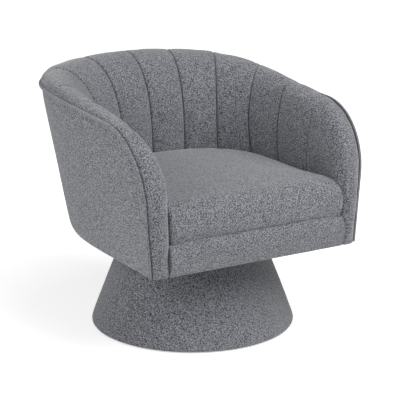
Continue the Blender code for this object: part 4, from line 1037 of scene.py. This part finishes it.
def rim_piping():
    """The covered cord sewn into the rim's seam, its fabric painted lighter as a painted highlight,
    and a thin dark cord in the fold beside it that is painted shade for the groove's shadow.
    """
    radius = piping_radius()
    stations = [back_station(PANEL_START * k / 90) for k in range(91)]
    stations += [front_station(k / 70) for k in range(1, 71)]
    path = [station.rim_point(PIPING_SINK) for station in stations]
    # Painted highlight: the piping's fabric is a lighter copy of the cover fabric, for the light on
    # the bead's top
    welt_painted_lighter = upholstery("welt fabric", 0.8, 0.8, 1.1)
    piece("rim_piping", cord(path, radius, 14), ["piping"], welt_painted_lighter, levels=1)
    beside = SHADE_CORD_PLACE * radius
    fold = [station.place(station.inside(station.rise, PIPING_SINK + beside), station.rise + beside)
            for station in stations]
    # Painted shade: a very dark cord in the fold beside the piping stands in for the shadow in the
    # groove
    shade_cord_finish = upholstery("stitching", 0.6, 0.5, 0.22)
    piece("rim_stitching", cord(fold, SHADE_CORD_RADIUS, 8), [], shade_cord_finish)


def cone_radius(z):
    """Outer radius of the cone's cover at a height."""
    return BASE_TOP_RADIUS + (BASE_HEIGHT - z) * CONE_SLOPE


def cone_cover():
    """The padded sleeve of the cone, with its rear seam, round foot and turned-in top."""
    edge, lip, skin = 0.009, 0.006, 0.005
    foot = BASE_LOW + edge
    wide = cone_radius(foot)
    hem = (wide - BASE_HEM_WIDTH, wide - 0.0125, BASE_LOW + 0.003)
    inner = BASE_TOP_RADIUS - 0.0152
    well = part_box("base_top_board")[1].z + 2 * GAP
    profile = [(hem[0], BASE_LOW), (wide - edge * 1.4, BASE_LOW)]
    profile += arc((wide - edge, foot), edge, -90, 0, 7)
    for k in range(1, 10):
        z = mix(foot, BASE_HEIGHT - lip, k / 10)
        profile.append((cone_radius(z) + 0.0012 * math.sin(math.pi * k / 10), z))
    profile += arc((BASE_TOP_RADIUS - lip, BASE_HEIGHT - lip), lip, 0, 90, 4)
    profile += [(inner, BASE_HEIGHT - 0.001), (inner, well), (inner + skin, well)]
    profile += [(inner + skin, BASE_HEIGHT - skin)]
    profile += [(cone_radius(BASE_HEIGHT - lip) - skin, BASE_HEIGHT - lip), (wide - skin, foot)]
    profile += [(hem[1], foot), (hem[1], hem[2]), (hem[0], hem[2])]
    made = piece("cone_cover", turned(profile, 96), ["base_cover"], body="base", levels=1)
    for vertex in made.data.vertices:
        place = vertex.co
        reach = math.hypot(place.x, place.y)
        if reach < cone_radius(place.z) - 0.0045:
            continue
        aside = abs(math.atan2(place.x, place.y)) * reach
        groove = 0.0018 * max(0.0, 1 - aside / 0.006)
        factor = (reach - groove + CONE_FULLNESS + ripple(place, 0.08, 0.0009)) / reach
        drop = CONE_DROP * ease(1 - (place.z - BASE_LOW) / 0.04)
        vertex.co = Vector((place.x * factor, place.y * factor, place.z - drop))


def dress_frame():
    """Gives every solid of the frame that shows the real finish of its slot."""
    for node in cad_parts.values():
        shown = node.material_slots[0]
        if shown.material.name in FINISHES:
            shown.material = finish(*FINISHES[shown.material.name])


def lamp(name, place, size, power):
    """A rectangular lamp that looks at the chair's middle."""
    data = bpy.data.lights.new(name, "AREA")
    data.shape = "RECTANGLE"
    data.size, data.size_y = size
    data.energy = power
    made = placed(name, data)
    made.location = place
    made.rotation_euler = (Vector(place) - Vector(LAMP_AIM)).to_track_quat("Z", "Y").to_euler()


def studio_floor():
    """Wide pale floor that keeps the chair's shadow and shows white in the picture."""
    look = bpy.context.scene.studio_look
    mesh = bmesh.new()
    bmesh.ops.create_grid(mesh, x_segments=8, y_segments=8, size=FLOOR_HALF_WIDTH)
    data = bpy.data.meshes.new("studio_floor")
    mesh.to_mesh(data)
    mesh.free()
    made = bpy.data.materials.new("studio floor")
    made.use_nodes = True
    tree = Tree(made.node_tree)
    seen = tree.node("ShaderNodeLightPath").outputs["Is Camera Ray"]
    place = tree.node("ShaderNodeTexCoord").outputs["Object"]
    reach = tree.node("ShaderNodeVectorMath", {0: place}, operation="LENGTH").outputs["Value"]
    apart = tree.scaled(reach, *SHADE_FADE, clamp=True)
    glow = tree.scaled(apart, look.shade, FLOOR_GLOW - look.shade)
    tree.give(made.node_tree.nodes["Principled BSDF"], {
        "Base Color": (*look.floor, 1.0), "Roughness": 0.9, "Specular IOR Level": 0.1,
        "Emission Color": (1.0, 1.0, 1.0, 1.0),
        "Emission Strength": tree.math("MULTIPLY", glow, seen)})
    data.materials.append(made)
    placed("studio_floor", data)


def studio_world():
    """Even room light, seen as white behind the chair."""
    look = bpy.context.scene.studio_look
    world = bpy.data.worlds.new("studio")
    world.use_nodes = True
    bpy.context.scene.world = world
    tree = Tree(world.node_tree)
    path = tree.node("ShaderNodeLightPath").outputs
    seen = tree.math("MAXIMUM", path["Is Camera Ray"], path["Is Glossy Ray"])
    tree.give(world.node_tree.nodes["Background"], {
        "Color": (1.0, 1.0, 1.0, 1.0),
        "Strength": tree.scaled(seen, 1.0 - look.ambient, look.ambient)})


def studio_camera():
    """Camera at the picture's own angle, with no shift and no depth of field."""
    turn = math.radians(CAMERA_AZIMUTH)
    tilt = math.radians(CAMERA_ELEVATION)
    back = Vector((math.sin(turn) * math.cos(tilt), -math.cos(turn) * math.cos(tilt),
                   math.sin(tilt)))
    aim = Vector((math.cos(turn), math.sin(turn), 0)) * CAMERA_SIDE_AIM
    aim.z = CAMERA_AIM_HEIGHT
    data = bpy.data.cameras.new("camera")
    data.sensor_width = SENSOR_WIDTH
    data.lens = CAMERA_FOCAL_PIXELS * SENSOR_WIDTH / PICTURE_PIXELS
    camera = placed("camera", data)
    camera.location = aim + back * CAMERA_DISTANCE
    camera.rotation_euler = back.to_track_quat("Z", "Y").to_euler()
    bpy.context.scene.camera = camera


def studio():
    """Camera, floor, room light and lamps."""
    look = bpy.context.scene.studio_look
    studio_camera()
    studio_floor()
    studio_world()
    lamp("main_lamp", (0.9, -2.1, 2.9), (2.4, 2.4), look.key)
    lamp("side_lamp", (-2.8, -0.6, 1.9), (2.0, 1.6), look.fill)
    lamp("rear_lamp", (-3.2, 0.6, 0.9), (1.8, 1.2), look.rear)
    bpy.context.scene.view_settings.view_transform = "Standard"


class CHAIR_OT_channelled_back(bpy.types.Operator):
    """Sew and fill the channelled inner back"""

    bl_idname = "chair.channelled_back"
    bl_label = "Channelled back"

    def execute(self, context):
        channelled_back()
        return {"FINISHED"}


class CHAIR_OT_arm_fronts(bpy.types.Operator):
    """Cover the fronts of both arms"""

    bl_idname = "chair.arm_fronts"
    bl_label = "Arm fronts"

    def execute(self, context):
        arm_fronts()
        return {"FINISHED"}


class CHAIR_OT_seat_cushion(bpy.types.Operator):
    """Fill the seat cushion"""

    bl_idname = "chair.seat_cushion"
    bl_label = "Seat cushion"

    def execute(self, context):
        seat_cushion()
        return {"FINISHED"}


class CHAIR_OT_front_band(bpy.types.Operator):
    """Cover the band below the cushion"""

    bl_idname = "chair.front_band"
    bl_label = "Front band"

    def execute(self, context):
        band()
        return {"FINISHED"}


class CHAIR_OT_outer_panel(bpy.types.Operator):
    """Cover the outside of the arms and back"""

    bl_idname = "chair.outer_panel"
    bl_label = "Outer panel"

    def execute(self, context):
        outer_panel()
        return {"FINISHED"}


class CHAIR_OT_rim_piping(bpy.types.Operator):
    """Sew the piping along the rim"""

    bl_idname = "chair.rim_piping"
    bl_label = "Rim piping"

    def execute(self, context):
        rim_piping()
        return {"FINISHED"}


class CHAIR_OT_cone_cover(bpy.types.Operator):
    """Cover the cone"""

    bl_idname = "chair.cone_cover"
    bl_label = "Cone cover"

    def execute(self, context):
        cone_cover()
        return {"FINISHED"}


class CHAIR_OT_dress_frame(bpy.types.Operator):
    """Give the frame, webbing, swivel and glides their finishes"""

    bl_idname = "chair.dress_frame"
    bl_label = "Frame finishes"

    def execute(self, context):
        dress_frame()
        return {"FINISHED"}


class CHAIR_OT_studio(bpy.types.Operator):
    """Set the camera, floor and lights"""

    bl_idname = "chair.studio"
    bl_label = "Studio"

    def execute(self, context):
        studio()
        return {"FINISHED"}


OPERATORS = (
    CHAIR_OT_channelled_back,
    CHAIR_OT_arm_fronts,
    CHAIR_OT_seat_cushion,
    CHAIR_OT_front_band,
    CHAIR_OT_outer_panel,
    CHAIR_OT_rim_piping,
    CHAIR_OT_cone_cover,
    CHAIR_OT_dress_frame,
    CHAIR_OT_studio,
)


class CHAIR_PT_pieces(bpy.types.Panel):
    """The chair's sizes, fabric, studio and pieces"""

    bl_label = "Swivel accent chair"
    bl_space_type = "VIEW_3D"
    bl_region_type = "UI"
    bl_category = "Chair"

    def draw(self, context):
        for settings in SETTINGS:
            group = getattr(context.scene, settings)
            column = self.layout.box().column()
            for name in group.__annotations__:
                column.prop(group, name)
        for operator in OPERATORS:
            self.layout.operator(operator.bl_idname)


SETTINGS = {"chair_sizes": ChairSizes, "fabric_look": FabricLook, "studio_look": StudioLook}
CLASSES = (*SETTINGS.values(), *OPERATORS, CHAIR_PT_pieces)


def register():
    for item in CLASSES:
        bpy.utils.register_class(item)
    for name, group in SETTINGS.items():
        setattr(bpy.types.Scene, name, bpy.props.PointerProperty(type=group))


def unregister():
    for name in SETTINGS:
        delattr(bpy.types.Scene, name)
    for item in reversed(CLASSES):
        bpy.utils.unregister_class(item)


def main():
    register()
    bpy.ops.chair.channelled_back()
    bpy.ops.chair.arm_fronts()
    bpy.ops.chair.seat_cushion()
    bpy.ops.chair.front_band()
    bpy.ops.chair.outer_panel()
    bpy.ops.chair.rim_piping()
    bpy.ops.chair.cone_cover()
    bpy.ops.chair.dress_frame()
    bpy.ops.chair.studio()


if __name__ == "__main__":
    main()
